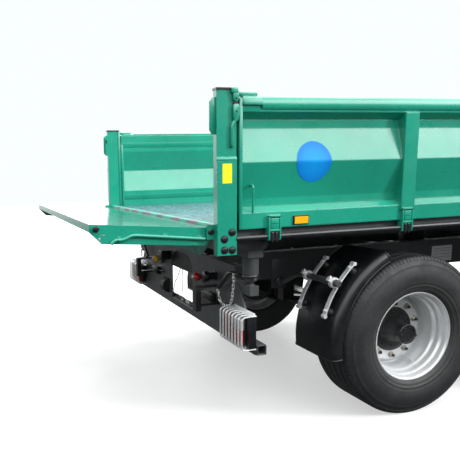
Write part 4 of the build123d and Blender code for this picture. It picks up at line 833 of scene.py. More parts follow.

# %% [markdown]
# Every imported node names the finish that it has, so one table gives each its material. The open tailgate's
# load face gets a green of its own, with painted shade that darkens its upward faces. The floor of the studio
# is a plain pale grey.

# %% Finishes on the plain CAD nodes
looks = {"tyre": tyre_rubber, "rim_silver": rim_silver, "chassis_grey": chassis_grey, "green": green,
         "floor_green": floor_green, "black_plastic": black_plastic, "galvanised": galvanised,
         "black_steel": black_steel, "lamp_red": lamp_red, "amber": amber, "red": red, "yellow": yellow,
         "rubber": rubber, "chrome": chrome}
slot_of = {part["node"]: part["material_slot"] for part in frame["record"]["subparts"]}
for name, obj in nodes.items():
    obj.data.materials.clear()
    obj.data.materials.append(gate_green if name == "tailgate" else looks[slot_of[name]])
studio, tree, shader = finish("studio", (0.5, 0.5, 0.5), 0.55, Emission_Color=(1, 1, 1, 1),
                              Emission_Strength=0.5)
drive(tree, shader, Roughness=span(tree, noise(tree, 2.0, 3.0), 0.3, 0.7, 0.5, 0.65))
floor.data.materials.append(studio)
print("finishes", len(bpy.data.materials))

# %% [markdown]
# ## Wheels
# Each wheel is a tyre, a steel rim and a hub with its brake drum. The tyre's profile is turned in one piece
# with its four grooves, and the blocks along both shoulders are set round it by the ring tree, which leaves
# the sipes open between them. Radii are measured from the axle, and offsets outwards from the middle of the
# tyre.

# %% Tyre
CROWN = 0.536
BEAD = 0.2863
GROOVES = (0.0306, 0.0918)
GROOVE_HALF = 0.0062
GROOVE_DEPTH = 0.013
SHOULDER_BLOCKS = 120
BLOCK_START = 0.128
TYRE_SEGMENTS = 132
TREAD_UV = (0.5, 0.69)


def half_profile():
    """(offset, radius) from the middle of the tread out to the bead."""
    points = [(0.0, CROWN)]
    for middle in GROOVES:
        points += [(middle - GROOVE_HALF, CROWN), (middle - GROOVE_HALF * 0.55, CROWN - GROOVE_DEPTH),
                   (middle + GROOVE_HALF * 0.55, CROWN - GROOVE_DEPTH), (middle + GROOVE_HALF, CROWN)]
    points += [(BLOCK_START - 0.001, CROWN), (BLOCK_START + 0.001, CROWN - 0.007), (0.147, 0.5265),
               (0.158, 0.515)]
    points += [(0.166, 0.501), (0.1725, 0.486), (0.1745, 0.484), (0.1765, 0.48), (0.177, 0.474)]
    points += [(0.1825, 0.46), (0.188, 0.442), (0.1922, 0.423), (0.1943, 0.406), (0.194, 0.388)]
    points += [(0.1918, 0.37), (0.188, 0.353), (0.1862, 0.348), (0.1866, 0.344), (0.185, 0.34)]
    points += [(0.18, 0.328), (0.1752, 0.317), (0.17, 0.3075), (0.164, 0.301), (0.1575, 0.297),
               (0.1497, BEAD)]
    return points


def build_tyre_ring():
    """The turned tyre about the Z axis, with u round it and v from bead to bead."""
    half = half_profile()
    profile = [(-offset, radius) for offset, radius in half[:0:-1]] + half
    lengths = [0.0]
    for before, after in zip(profile, profile[1:]):
        lengths.append(lengths[-1] + hypot(after[0] - before[0], after[1] - before[1]))
    shares = [length / lengths[-1] for length in lengths]
    builder = bmesh.new()
    uv = builder.loops.layers.uv.new("UVMap")
    turns = [tau * k / TYRE_SEGMENTS for k in range(TYRE_SEGMENTS)]
    rings = [[builder.verts.new((radius * cos(turn), radius * sin(turn), offset)) for turn in turns]
             for offset, radius in profile]
    count = len(rings)
    for row in range(count):
        below, above = rings[row], rings[(row + 1) % count]
        low, high = shares[row], shares[row + 1] if row + 1 < count else 0.0
        for k in range(TYRE_SEGMENTS):
            after = (k + 1) % TYRE_SEGMENTS
            face = builder.faces.new((below[k], below[after], above[after], above[k]))
            for loop, place in zip(face.loops, ((k, low), (k + 1, low), (k + 1, high), (k, high))):
                loop[uv].uv = (place[0] / TYRE_SEGMENTS, place[1])
    return builder


def shoulder_block():
    """One tread block: a wedge that fills the step in the shoulder, narrower than its share of the ring."""
    builder = bmesh.new()
    builder.loops.layers.uv.new("UVMap")
    share = tau / SHOULDER_BLOCKS
    outline = [(BLOCK_START, CROWN), (0.1405, CROWN - 0.0004), (0.15, 0.5318), (0.159, 0.521),
               (0.1655, 0.5085), (0.16, 0.505), (0.14, 0.515), (BLOCK_START, 0.518)]
    rings = []
    for turn in (-share * 0.44, share * 0.44):
        rings.append([builder.verts.new((radius * cos(turn), radius * sin(turn), offset))
                      for offset, radius in outline])
    builder.faces.new(rings[0])
    builder.faces.new(rings[1][::-1])
    for k in range(len(outline)):
        after = (k + 1) % len(outline)
        builder.faces.new((rings[0][k], rings[1][k], rings[1][after], rings[0][after]))
    bmesh.ops.recalc_face_normals(builder, faces=builder.faces[:])
    return builder


def block_uv(obj):
    """The blocks read as tread to the tyre's finish."""
    layer = obj.data.uv_layers.active or obj.data.uv_layers.new(name="UVMap")
    for loop in layer.data:
        loop.uv = TREAD_UV


def wheel_matrix(x, side):
    """Carries a wheel turned about Z, outside up, to its place on the axle."""
    outwards = Matrix.Rotation(radians(90) * -side, 4, "X")
    return Matrix.Translation((at(x), side * WHEEL_Y, WHEEL_RADIUS)) @ outwards


tread = as_object("shoulder_block", shoulder_block())
blocks = grown("shoulder_blocks", ring_tree, {
    "Piece": tread, "Count": SHOULDER_BLOCKS, "Radius": 0.0, "First angle": 0.0, "Material": tyre_rubber})
bpy.data.objects.remove(tread)
other_side = linked("other_shoulder_blocks", blocks.data.copy())
place_mesh(other_side, Matrix.Scale(-1, 4, (0, 0, 1)))
for obj in (blocks, other_side):
    block_uv(obj)
turned_tyre = as_object("turned_tyre", build_tyre_ring())
tyre_form = joined("tyre_form", [turned_tyre, blocks, other_side])
print("tyre faces", len(tyre_form.data.polygons))

# %% [markdown]
# The rim steps down towards its middle so that a tyre can be drawn over it, and the steps show as bright
# rings. The disc is welded in deep, behind ten nuts. The black hub carries its own ring of small screws and a
# cap with a raised rim. The valve comes through the disc and bends outwards.

# %% Rim, nuts, hub
NUTS = 10
NUT_RING = 0.184
DISC_FACE = -0.036
ORIGIN = (-DATUM, 0.0, 0.0)
OUTWARDS = (0, 0, 1)
NUT_PLACE = (-DATUM, 0.0, DISC_FACE)
FIRST_NUT = radians(18)
VALVE_TURN = radians(-64)
HUB_SCREWS, HUB_SCREW_RING = 10, 0.116
CAP_SCREWS, CAP_SCREW_RING = 6, 0.0455
RIM_SEGMENTS = 96


def rim_builder():
    builder = bmesh.new()
    shell = [(0.2985, 0.151), (0.2985, 0.1575), (0.2968, 0.1598), (0.2925, 0.16), (0.2885, 0.1582),
             (0.2845, 0.152), (0.2815, 0.142), (0.2785, 0.123), (0.277, 0.117), (0.27, 0.109),
             (0.2668, 0.102), (0.2655, 0.078), (0.264, 0.072), (0.256, 0.062), (0.252, 0.054),
             (0.2505, 0.04), (0.25, -0.04), (0.252, -0.06), (0.262, -0.08), (0.276, -0.112),
             (0.2815, -0.142), (0.2845, -0.152), (0.2925, -0.16), (0.2985, -0.1575), (0.2985, -0.151),
             (0.2864, -0.15), (0.2862, 0.15)]
    lathe(builder, shell, ORIGIN, OUTWARDS, RIM_SEGMENTS)
    disc = [(0.155, -0.036), (0.209, -0.036), (0.215, -0.0372), (0.221, -0.041), (0.228, -0.048),
            (0.236, -0.058), (0.244, -0.066), (0.254, -0.07), (0.256, -0.08), (0.242, -0.076),
            (0.23, -0.066), (0.221, -0.055), (0.212, -0.05), (0.155, -0.0495)]
    lathe(builder, disc, ORIGIN, OUTWARDS, RIM_SEGMENTS)
    weld = [(0.253, -0.064), (0.248, -0.065), (0.247, -0.069), (0.254, -0.072)]
    lathe(builder, weld, ORIGIN, OUTWARDS, RIM_SEGMENTS)
    return builder


def nut_pattern():
    builder = bmesh.new()
    washer = [(0, 0), (0.0215, 0), (0.0215, 0.0032), (0.02, 0.0045), (0, 0.0045)]
    lathe(builder, washer, NUT_PLACE, OUTWARDS, 20)
    hexagon = [(0, 0.0045), (0.0172, 0.0045), (0.0176, 0.006), (0.0176, 0.019), (0.015, 0.0212),
               (0, 0.0212)]
    lathe(builder, hexagon, NUT_PLACE, OUTWARDS, 6)
    return builder


def stud_pattern():
    builder = bmesh.new()
    stud = [(0, 0.02), (0.0105, 0.02), (0.0105, 0.032), (0.0085, 0.0342), (0, 0.0342)]
    lathe(builder, stud, NUT_PLACE, OUTWARDS, 16)
    return builder


def hub_builder():
    builder = bmesh.new()
    profile = [(0, -0.15), (0.202, -0.15), (0.202, -0.134), (0.196, -0.132), (0.196, -0.06),
               (0.199, -0.052), (0.1545, -0.051), (0.1545, -0.033), (0.15, -0.03), (0.138, -0.029),
               (0.135, -0.032), (0.098, -0.033), (0.092, -0.025), (0.086, -0.005), (0.076, 0.02),
               (0.07, 0.04), (0.066, 0.048), (0.065, 0.062), (0.065, 0.096), (0.068, 0.0985),
               (0.068, 0.106), (0.065, 0.109), (0.0575, 0.109), (0.055, 0.106), (0.054, 0.1),
               (0, 0.0985)]
    lathe(builder, profile, ORIGIN, OUTWARDS, 64)
    for k in range(HUB_SCREWS):
        turn = tau * (k + 0.5) / HUB_SCREWS
        centre = (-DATUM + HUB_SCREW_RING * cos(turn), HUB_SCREW_RING * sin(turn), -0.033)
        cap_screw(builder, centre, OUTWARDS, 0.0075, 0.0085)
    for k in range(CAP_SCREWS):
        turn = tau * k / CAP_SCREWS
        centre = (-DATUM + CAP_SCREW_RING * cos(turn), CAP_SCREW_RING * sin(turn), 0.099)
        lathe(builder, [(0, 0), (0.0052, 0), (0.0052, 0.005), (0.0035, 0.006), (0, 0.006)], centre, OUTWARDS,
              10)
    return builder


def valve_builder():
    builder = bmesh.new()
    line = bend([(-DATUM + 0.229, 0, -0.056), (-DATUM + 0.229, 0, -0.02), (-DATUM + 0.235, 0, 0.04)],
                0.014)
    tube(builder, line, 0.0042, 10)
    tip = line[-1]
    lathe(builder, [(0, 0), (0.006, 0), (0.0062, 0.012), (0.005, 0.015), (0, 0.015)], tip,
          (0.1, 0, 0.995), 12)
    return builder


def ring_of(name, builder, material):
    shape = as_object(name + "_one", builder)
    ring = grown(name, ring_tree, {
        "Piece": shape, "Count": NUTS, "Radius": NUT_RING, "First angle": FIRST_NUT, "Material": material})
    bpy.data.objects.remove(shape)
    return ring


def copy_at(source, name, matrix):
    obj = linked(name, source.data.copy())
    place_mesh(obj, matrix)
    return obj


forms = {
    "tyre": (tyre_form, tyre_rubber, "tyre"),
    "rim": (as_object("rim_form", rim_builder()), rim_silver, "rim_silver"),
    "hub": (as_object("hub_form", hub_builder()), hub_black, "black_steel"),
    "nuts": (ring_of("nuts_form", nut_pattern(), nut_metal), nut_metal, "chrome"),
    "studs": (ring_of("studs_form", stud_pattern(), black_steel), black_steel, "black_steel"),
    "valve": (as_object("valve_form", valve_builder()), zinc, "chrome"),
}
for axle, x in AXLES.items():
    for side in SIDES:
        wheel = f"{axle}_{SIDE_NAMES[side]}"
        for kind, (source, material, slot) in forms.items():
            stands_for = (f"{kind}_{wheel}",) if kind in ("tyre", "rim", "hub") else ()
            turned = wheel_matrix(x, side) @ Matrix.Rotation(VALVE_TURN if kind == "valve" else 0.0, 4, "Z")
            obj = copy_at(source, f"{kind}_dressed_{wheel}", turned)
            settle(obj, material, f"wheel_{wheel}", slot, stands_for)
for source, _, _ in forms.values():
    bpy.data.objects.remove(source)
print("pieces on wheels", len(made_pieces))

# %% [markdown]
# ## Mudguards and their brackets
# A moulded guard covers the outer quarter of each wheel. Its section has round shoulders and a lip on each
# side, and its edge is rolled over a bead. The rear guards are drawn first, and the front ones are the same
# shapes mirrored about the middle of the two axles.

# %% Guard shells
GUARD_RADIUS = 0.652
GUARD_LIP = 0.58
GUARD_Y = (0.78, 1.215)
GUARD_SKIN = 0.005
GUARD_SHOULDER = 0.046
GUARD_ANGLES = (116.0, 187.0)
GUARD_STEPS = 44
AXLES_MIDDLE = sum(AXLES.values()) / 2
BEAD_IN = 0.004


def between(limits, steps):
    """Evenly spaced values from one limit to the other."""
    return [limits[0] + (limits[1] - limits[0]) * step / steps for step in range(steps + 1)]


def guard_section(inset=0.0):
    """(y, radius) points over the guard from lip to lip."""
    near, far = GUARD_Y[1] - inset, GUARD_Y[0] + inset
    top, turn = GUARD_RADIUS - inset, GUARD_SHOULDER - inset
    quarter = [(turn * cos(radians(a)), top - turn + turn * sin(radians(a))) for a in range(0, 91, 15)]
    points = [(near, GUARD_LIP + BEAD_IN)]
    points += [(near - turn + along, height) for along, height in quarter]
    points += [(far + turn - along, height) for along, height in quarter[::-1]]
    return points + [(far, GUARD_LIP + BEAD_IN)]


def wheel_point(x, radius, angle, ahead):
    """A point about the rear wheel, or its mirror image about the front wheel."""
    place = x + radius * cos(radians(angle))
    return (2 * AXLES_MIDDLE - place if ahead else place), WHEEL_RADIUS + radius * sin(radians(angle))


def guard_builder(side, ahead):
    builder = bmesh.new()
    x = AXLES["rear"]
    outer, inner = guard_section(), guard_section(GUARD_SKIN)
    rings = []
    for angle in between(GUARD_ANGLES, GUARD_STEPS):
        ring = []
        for y, radius in outer + inner[::-1]:
            place, height = wheel_point(x, radius, angle, ahead)
            ring.append(builder.verts.new((at(place), side * y, height)))
        rings.append(ring)
    join_rings(builder, rings)
    builder.faces.new(rings[0])
    builder.faces.new(rings[-1][::-1])
    for y in (GUARD_Y[1] - BEAD_IN, GUARD_Y[0] + BEAD_IN):
        line = []
        for angle in between(GUARD_ANGLES, GUARD_STEPS):
            place, height = wheel_point(x, GUARD_LIP + 0.005, angle, ahead)
            line.append((place, side * y, height))
        tube(builder, line, 0.0062, 10)
    for angle in GUARD_ANGLES:
        line = []
        for y, radius in outer:
            place, height = wheel_point(x, radius - 0.001, angle, ahead)
            line.append((place, side * min(max(y, GUARD_Y[0] + 0.003), GUARD_Y[1] - 0.003), height))
        tube(builder, line, 0.0065, 10)
    return builder


guards = []
for ahead in (False, True):
    for side in SIDES:
        guards.append(as_object(f"guard_{ahead}_{side}", guard_builder(side, ahead)))
settle(joined("mudguards_moulded", guards), black_plastic, "chassis", "black_plastic", ("mudguards",))

# %% [markdown]
# Each guard hangs on a cranked tube that comes out of a cup on the chassis rail. Two clamps on the tube hold
# bent straps, and every strap ends in a rubber buffer with a screw through it, which keeps the thin shell
# from drumming.

# %% Tubes, clamps, straps and buffers
ARM_RADIUS = 0.021
ARM = [(0.853, 0.486, 0.834), (0.853, 0.545, 0.836), (0.832, 0.735, 0.93), (0.842, 0.8, 0.94),
       (0.842, 1.16, 0.94)]
HANGER = [(0.795, 0.476, 0.78), (0.912, 0.486, 1.0)]
ARM_X, ARM_END, ARM_Z = ARM[-1]
CUP = [(0, 0), (0.04, 0), (0.04, 0.012), (0.037, 0.03), (0.031, 0.034), (0.0275, 0.06), (0, 0.06)]
END_CAP = [(0, 0), (0.0235, 0), (0.0235, 0.022), (0.019, 0.028), (0, 0.028)]
CLAMPS = (0.859, 1.13)
CLAMP_RING = [(ARM_RADIUS, 0), (0.032, 0), (0.034, 0.002), (0.034, 0.026), (0.032, 0.028),
              (ARM_RADIUS, 0.028)]
CLAMP_WAY = (0.599, 0, -0.404)
STRAP_RADIUS = 0.6905
STRAP_ANGLES = (132.0, 163.5)
STRAP_WIDTH = 0.032
BUFFER_ANGLES = (135.0, 160.5)
BUFFER = [(0, 0), (0.024, 0), (0.0245, 0.006), (0.019, 0.016), (0.0175, 0.03), (0.0175, 0.0362), (0, 0.0362)]
ACROSS = (0, 1, 0)


def mirrored(points, side, ahead):
    return [((2 * AXLES_MIDDLE - x if ahead else x), side * y, z) for x, y, z in points]


def add_clamp(straps, y, side, ahead):
    """A split ring on the tube with its lug and its screw, at a distance y from the middle."""
    way = -1 if ahead else 1
    centre, middle = mirrored([(ARM_X, y - 0.014, ARM_Z), (ARM_X, y, ARM_Z)], side, ahead)
    lathe(straps, CLAMP_RING, centre, (0, side, 0), 28)
    lug = Vector((CLAMP_WAY[0] * way, 0, CLAMP_WAY[2])).normalized()
    foot = [(middle[0] + lug.x * reach, middle[1], middle[2] + lug.z * reach) for reach in (0.016, 0.0345)]
    flat_bar(straps, foot, ACROSS, 0.036, 0.052)
    ear = [(middle[0] - lug.x * reach, middle[1], middle[2] - lug.z * reach) for reach in (0.028, 0.052)]
    flat_bar(straps, ear, ACROSS, 0.026, 0.024)
    screw = (middle[0] - lug.x * 0.043 - lug.z * 0.012 * way, middle[1],
             middle[2] - lug.z * 0.043 + abs(lug.x) * 0.012)
    cap_screw(straps, screw, (-lug.z * way, 0, lug.x * way), 0.0085, 0.011)


def add_bracket(arms, straps, buffers, side, ahead):
    way = -1 if ahead else 1
    x = AXLES["rear"]
    tube(arms, mirrored(bend(ARM, 0.07, 8), side, ahead), ARM_RADIUS, 20)
    block(arms, *zip(*mirrored(HANGER, side, ahead)), 0.002)
    cup, end = mirrored([ARM[0], (ARM_X, ARM_END - 0.01, ARM_Z)], side, ahead)
    lathe(arms, CUP, cup, (0, side, 0), 24)
    lathe(arms, END_CAP, end, (0, side, 0), 20)
    for y in CLAMPS:
        add_clamp(straps, y, side, ahead)
        points = []
        for angle in between(STRAP_ANGLES, 14):
            place, height = wheel_point(x, STRAP_RADIUS, angle, ahead)
            points.append((place, side * y, height))
        flat_bar(straps, points, ACROSS, STRAP_WIDTH, 0.008)
        for place, _, height in (points[0], points[-1]):
            ends = [(place, side * (y + offset), height) for offset in (-0.0165, 0.0165)]
            tube(straps, ends, 0.0125, 14)
        for angle in BUFFER_ANGLES:
            place, height = wheel_point(x, GUARD_RADIUS - 0.001, angle, ahead)
            out = (cos(radians(angle)) * way, 0, sin(radians(angle)))
            lathe(buffers, BUFFER, (place, side * y, height), out, 24)
            place, height = wheel_point(x, STRAP_RADIUS + 0.003, angle, ahead)
            cap_screw(straps, (place, side * y, height), out, 0.0095, 0.012)


arms, straps, buffers = builders(3)
for ahead in (False, True):
    for side in SIDES:
        add_bracket(arms, straps, buffers, side, ahead)
piece("guard_arms", arms, chassis_grey, "chassis", "black_steel", ("mudguard_brackets",))
piece("guard_straps", straps, galvanised, "chassis", "galvanised")
piece("guard_buffers", buffers, rubber, "chassis", "rubber")

# %% [markdown]
# ## Corner posts, latch levers and side boards
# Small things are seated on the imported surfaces: `skin_y` sends a ray in from the side and returns how far
# out a node's surface lies, so the disc follows the fold of the board and the handle's feet meet the sheet.

# %% Finding a surface
def skin_y(node, x, z, side):
    """Distance from the middle to a node's outer surface at a place on the drawing."""
    start = Vector((at(x), side * 3.0, z))
    hit, place, _, _ = nodes[node].ray_cast(start, Vector((0, -side, 0)))
    if not hit:
        raise ValueError(f"no surface of {node} at {x}, {z}")
    return abs(place.y)


print("right board's face at mid-height", round(skin_y("side_board_right", 2.0, 1.7, RIGHT), 4))

# %% [markdown]
# Each rear corner post carries a board latch. Two plates stand in the fork on top of the post, and a cranked
# lever hangs from them down to a round handle. Four domed caps close the hinge screws at the foot, and a
# blank yellow plate is stuck on the sleeve.

# %% Latch levers
LEVER_Y = 1.2595
LEVER_HALF = 0.0075
GRIP_Y = 1.258
GRIP_RADIUS = 0.0105
SLEEVE_Y = 1.258
FACE_PROUD = 0.0008
FORK_TOP = [(0.08, 2.036), (0.117, 2.036), (0.117, 2.06), (0.112, 2.0635), (0.085, 2.0635), (0.08, 2.06)]
FORK = [(0.09, 2.05), (0.09, 2.004), (0.096, 1.996), (0.106, 1.993), (0.117, 1.996), (0.123, 2.004),
        (0.123, 2.05)]
LEVER = [(0.089, 1.974), (0.095, 1.981), (0.118, 1.981), (0.124, 1.974), (0.125, 1.925), (0.121, 1.902),
         (0.11, 1.89), (0.094, 1.894), (0.09, 1.915), (0.089, 1.94)]
GRIP = [(0.108, 1.925), (0.107, 1.902), (0.0875, 1.874), (0.086, 1.84), (0.086, 1.79)]
GRIP_END = [(0, 0), (GRIP_RADIUS, 0), (GRIP_RADIUS, 0.022), (0.009, 0.028), (0.0055, 0.0315), (0, 0.0325)]
LEVER_GAP_SHADE = [(0.094, 1.998), (0.119, 1.998), (0.119, 1.976), (0.094, 1.976)]
LEVER_RIVETS = ((0.107, 1.943, 0.0052), (0.107, 1.925, 0.0052), (0.1065, 2.01, 0.006))
FOOT_CAPS = ((0.087, 1.308), (0.041, 1.272), (0.042, 1.212), (0.088, 1.21))
EAR_COVER = [(0.004, 1.828), (-0.012, 1.828), (-0.034, 1.85), (-0.034, 1.995), (-0.012, 2.0175),
             (0.004, 2.0175)]
COLLAR = [(1.248, 1.686), (1.2588, 1.69), (1.2588, 1.7), (1.2525, 1.7115), (1.248, 1.713)]
CAP_BAND = 0.0036
EAR_EDGE, EAR_SHORTER = -0.02, 0.011
EAR_HEIGHTS = (1.82, 2.03)


def lever_plate(builder, outline, side, y=LEVER_Y, half=LEVER_HALF):
    prism(builder, outline, "y", (side * (y - half), side * (y + half)), 0.002)


def on_side(outline, side):
    """An outline of (y, z) points for the left side, or mirrored to the right."""
    return [(side * y, z) for y, z in outline]


def copy_of(node, name):
    """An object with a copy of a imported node's mesh, for a piece that stands for it."""
    return linked(name, nodes[node].data.copy())


posts = copy_of("corner_posts", "posts_dressed")
for vert in posts.data.vertices:
    if vert.co.x - DATUM < EAR_EDGE and EAR_HEIGHTS[0] < vert.co.z < EAR_HEIGHTS[1]:
        vert.co.x += EAR_SHORTER

levers, trims, rivets, caps, labels, bands = builders(6)
for side in SIDES:
    out = (0, side, 0)
    lever_plate(levers, FORK_TOP, side)
    lever_plate(levers, FORK, side, LEVER_Y - 0.001)
    lever_plate(levers, LEVER, side)
    tube(levers, bend([(x, side * GRIP_Y, z) for x, z in GRIP], 0.022, 6), GRIP_RADIUS, 18)
    lathe(levers, GRIP_END, (GRIP[-1][0], side * GRIP_Y, GRIP[-1][1]), (0, 0, -1), 18)
    # painted shade: a black plate behind the lever, seen only in the gap at its pivot
    lever_plate(rivets, LEVER_GAP_SHADE, side, LEVER_Y - 0.004, 0.004)
    for x, z, size in LEVER_RIVETS:
        dome(rivets, (x, side * (LEVER_Y + LEVER_HALF - 0.001), z), out, size, 0.0022, 16)
    for x, z in FOOT_CAPS:
        dome(caps, (x, side * (SLEEVE_Y - 0.001), z), out, 0.018, 0.0095)
        round_plate(caps, (x, side * SLEEVE_Y, z), out, 0.0215, 0.0022)
    block(labels, (0.03, 0.0855), (side * SLEEVE_Y, side * (SLEEVE_Y + FACE_PROUD)), (1.5715, 1.6755))
    prism(trims, EAR_COVER, "y", (side * 1.2292, side * 1.2385), 0.0012)
    for ahead in (False, True):
        near, far = (BED_LENGTH, BED_LENGTH - POST_LENGTH) if ahead else (0, POST_LENGTH)
        inward = -1 if ahead else 1
        block(trims, (far - inward * 0.01, far + inward * 0.0135), (side * 1.2045, side * 1.2105),
              (1.34, 2.05), 0.001)
        prism(trims, on_side(COLLAR, side), "x", (near - inward * 0.0008, far + inward * 0.0006), 0.001)
        block(bands, (near - inward * CAP_BAND, far + inward * CAP_BAND),
              (side * (POST_INNER - CAP_BAND), side * (BED_HALF + CAP_BAND)),
              (POST_TOP + 0.0015, POST_TOP + 0.0119))
piece("latch_levers_cranked", levers, green, "bed", "green", ("latch_levers",))
settle(posts, green, "bed", "green", ("corner_posts",))
piece("post_trims", trims, green, "bed", "green")
piece("post_top_bands", bands, black_steel, "bed", "black_steel")
piece("latch_rivets", rivets, black_steel, "bed", "black_steel")
piece("post_caps", caps, black_plastic, "bed", "black_plastic")
piece("post_labels", labels, label_yellow, "bed", "yellow")

# %% [markdown]
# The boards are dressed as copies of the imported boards, which take their place: the copy's claws are let in a
# little, so that their rims and keepers can stand proud of them, and its end brackets start higher up. The
# top rail is a rolled section, so a form with a round upper edge and a bellied face covers its flat outside.
# The boards end in a folded strip, a thick bracket and a short bar over it, which the latch holds. A bent rod
# below serves as a handle.

# %% Boards, their ends and handles
CLAW_OUT = 1.2685
CLAW_FACE = 1.265
BRACKET_OUT = 1.2535
BRACKET_FOOT = (1.93, 1.95)
BRACKET_BOTTOM = 1.974
HANDLE_X = 0.2157
HANDLE_Y = 1.252
HANDLE_TOP = 1.556
HANDLE_FOOT = 1.406
BOARD_ENDS = ((BOARD_START - 0.001, 0.2515), (BED_LENGTH - 0.2515, BOARD_END + 0.001))
RAIL_MIDDLE = 1.979
RAIL_ROLL = (0.03, 0.049)
RAIL_ROLL_Y = 1.23
RAIL_BELLY = (0.012, 0.0262)
RAIL_BELLY_Y = 1.248
RAIL_FORM_X = (0.264, BED_LENGTH - 0.264)
BRACKET = [(1.24, 1.974), (1.2645, 1.976), (1.2585, 2.01), (1.248, 2.023), (1.198, 2.023),
           (1.198, 2.01), (1.24, 2.006)]
UPPER_LINING = [(1.1945, 1.946), (1.1985, 1.898), (1.2015, 1.898), (1.1975, 1.946)]
LOWER_LINING = [(1.2095, 1.396), (1.1985, 1.446), (1.2015, 1.446), (1.213, 1.396)]


def rail_form(side):
    """The rolled outside of the top rail: a round upper edge that runs out into a slightly bellied face."""
    points = [(RAIL_ROLL_Y + RAIL_ROLL[0] * cos(radians(a)), RAIL_MIDDLE + RAIL_ROLL[1] * sin(radians(a)))
              for a in range(90, 0, -6)]
    points += [(RAIL_BELLY_Y + RAIL_BELLY[0] * cos(radians(a)), RAIL_MIDDLE + RAIL_BELLY[1] * sin(radians(a)))
               for a in range(0, -79, -6)]
    points.append((RAIL_ROLL_Y, points[-1][1]))
    return on_side(points, side)


def dressed_board(side):
    """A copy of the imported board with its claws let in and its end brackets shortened."""
    board = copy_of(f"side_board_{SIDE_NAMES[side]}", f"board_sheet_{SIDE_NAMES[side]}")
    for vert in board.data.vertices:
        x, out = vert.co.x - DATUM, abs(vert.co.y)
        in_bracket = any(low < x < high for low, high in BOARD_ENDS)
        if out > CLAW_OUT:
            vert.co.y = side * CLAW_FACE
        elif out > BRACKET_OUT and in_bracket and BRACKET_FOOT[0] < vert.co.z < BRACKET_FOOT[1]:
            vert.co.z = BRACKET_BOTTOM
    return board


def add_board_end(builder, handles, side, ahead):
    """Fittings at the rear end of a board, or mirrored at its front end."""
    def across(x0, x1):
        return (BED_LENGTH - x1, BED_LENGTH - x0) if ahead else (x0, x1)

    block(builder, across(BOARD_START, 0.15), (side * 1.196, side * 1.2555), (BOARD_BOTTOM, 2.01), 0.002)
    prism(builder, on_side(BRACKET, side), "x", across(0.15, 0.264), 0.0025)
    block(builder, across(0.134, 0.24), (side * 1.22, side * 1.248), (2.022, 2.044), 0.004)
    x = across(HANDLE_X, HANDLE_X)[0]
    seat = skin_y(f"side_board_{SIDE_NAMES[side]}", x, HANDLE_TOP, side) - 0.004
    line = [(x, side * seat, HANDLE_TOP), (x, side * HANDLE_Y, HANDLE_TOP),
            (x, side * HANDLE_Y, HANDLE_FOOT + 0.02), (x, side * (HANDLE_Y - 0.006), HANDLE_FOOT)]
    tube(handles, bend(line, 0.016, 5), 0.0065, 12)


for side in SIDES:
    name = SIDE_NAMES[side]
    body = f"board_{name}"
    ends, handles, linings, rolled = builders(4)
    for ahead in (False, True):
        add_board_end(ends, handles, side, ahead)
    for outline in (UPPER_LINING, LOWER_LINING):
        prism(linings, on_side(outline, side), "x", (BOARD_START + 0.001, BOARD_END - 0.001), 0.0005)
    prism(rolled, rail_form(side), "x", RAIL_FORM_X)
    piece(f"board_rolled_rail_{name}", rolled, green, body, "green")
    piece(f"board_ends_{name}", ends, board_green, body, "green")
    piece(f"board_handles_{name}", handles, green, body, "green")
    piece(f"board_linings_{name}", linings, green, body, "green")

# %% [markdown]
# The disc is cut in rows, one of which runs exactly along the fold of the board, so it bends with the sheet.

# %% Disc on the fold
DISC_ROWS = 30
DISC_COLUMNS = 20
DISC_PROUD = 0.0014
FOLD = 1.678


def disc_builder(side):
    builder = bmesh.new()
    node = f"side_board_{SIDE_NAMES[side]}"
    x0, _, z0 = DISC_PLACE
    heights = [z0 - DISC_RADIUS * cos(pi * step / DISC_ROWS) for step in range(DISC_ROWS + 1)]
    nearest = min(range(len(heights)), key=lambda k: abs(heights[k] - FOLD))
    heights[nearest] = FOLD
    layers = []
    for proud in (DISC_PROUD, 0.0002):
        rows = []
        for height in heights:
            half = sqrt(max(DISC_RADIUS ** 2 - (height - z0) ** 2, 1e-8))
            row = []
            for column in range(DISC_COLUMNS + 1):
                x = x0 + half * (2 * column / DISC_COLUMNS - 1)
                out = skin_y(node, x, height, side) + proud
                row.append(builder.verts.new((at(x), side * out, height)))
            rows.append(row)
        layers.append(rows)
    for rows in layers:
        for row, following in zip(rows, rows[1:]):
            for k in range(DISC_COLUMNS):
                builder.faces.new((row[k], row[k + 1], following[k + 1], following[k]))
    rims = []
    for rows in layers:
        left_side = [row[0] for row in rows]
        right_side = [row[-1] for row in rows]
        rims.append(rows[0] + right_side[1:-1] + rows[-1][::-1] + left_side[-2:0:-1])
    join_rings(builder, rims)
    return builder


piece("board_disc", disc_builder(RIGHT), disc_blue, "board_right", "black_plastic")

# %% [markdown]
# Every claw has a rim round a slotted keeper, and twin black lugs reach under the rod between its fingers.
# Black strips in the keeper's slot and in the gaps below and above it are painted shade.
# The amber lamps sit in shallow frames.

# %% Hinge claws and lamp frames
CLAWS = (0.344, 1.243, 2.5, 3.757, 4.656)
CLAW_HALF = 0.039
CLAW_TOP = 1.388
CLAW_RIM_Y = (CLAW_FACE - 0.001, 1.2689)
CLAW_WINDOW = 0.03
KEEPER_HALF = 0.0245
MARKERS = (0.516, 4.484)
MARKER_HALF = 0.049
MARKER_BAR = 0.006
MARKER_Y = (1.249, 1.2575)
MARKER_Z = (1.329, 1.379)
LUG = [(1.24, 1.262), (1.24, 1.241), (1.245, 1.236), (1.262, 1.236), (1.2688, 1.243),
       (1.2688, 1.293), (1.2665, 1.2965), (1.264, 1.2965)]


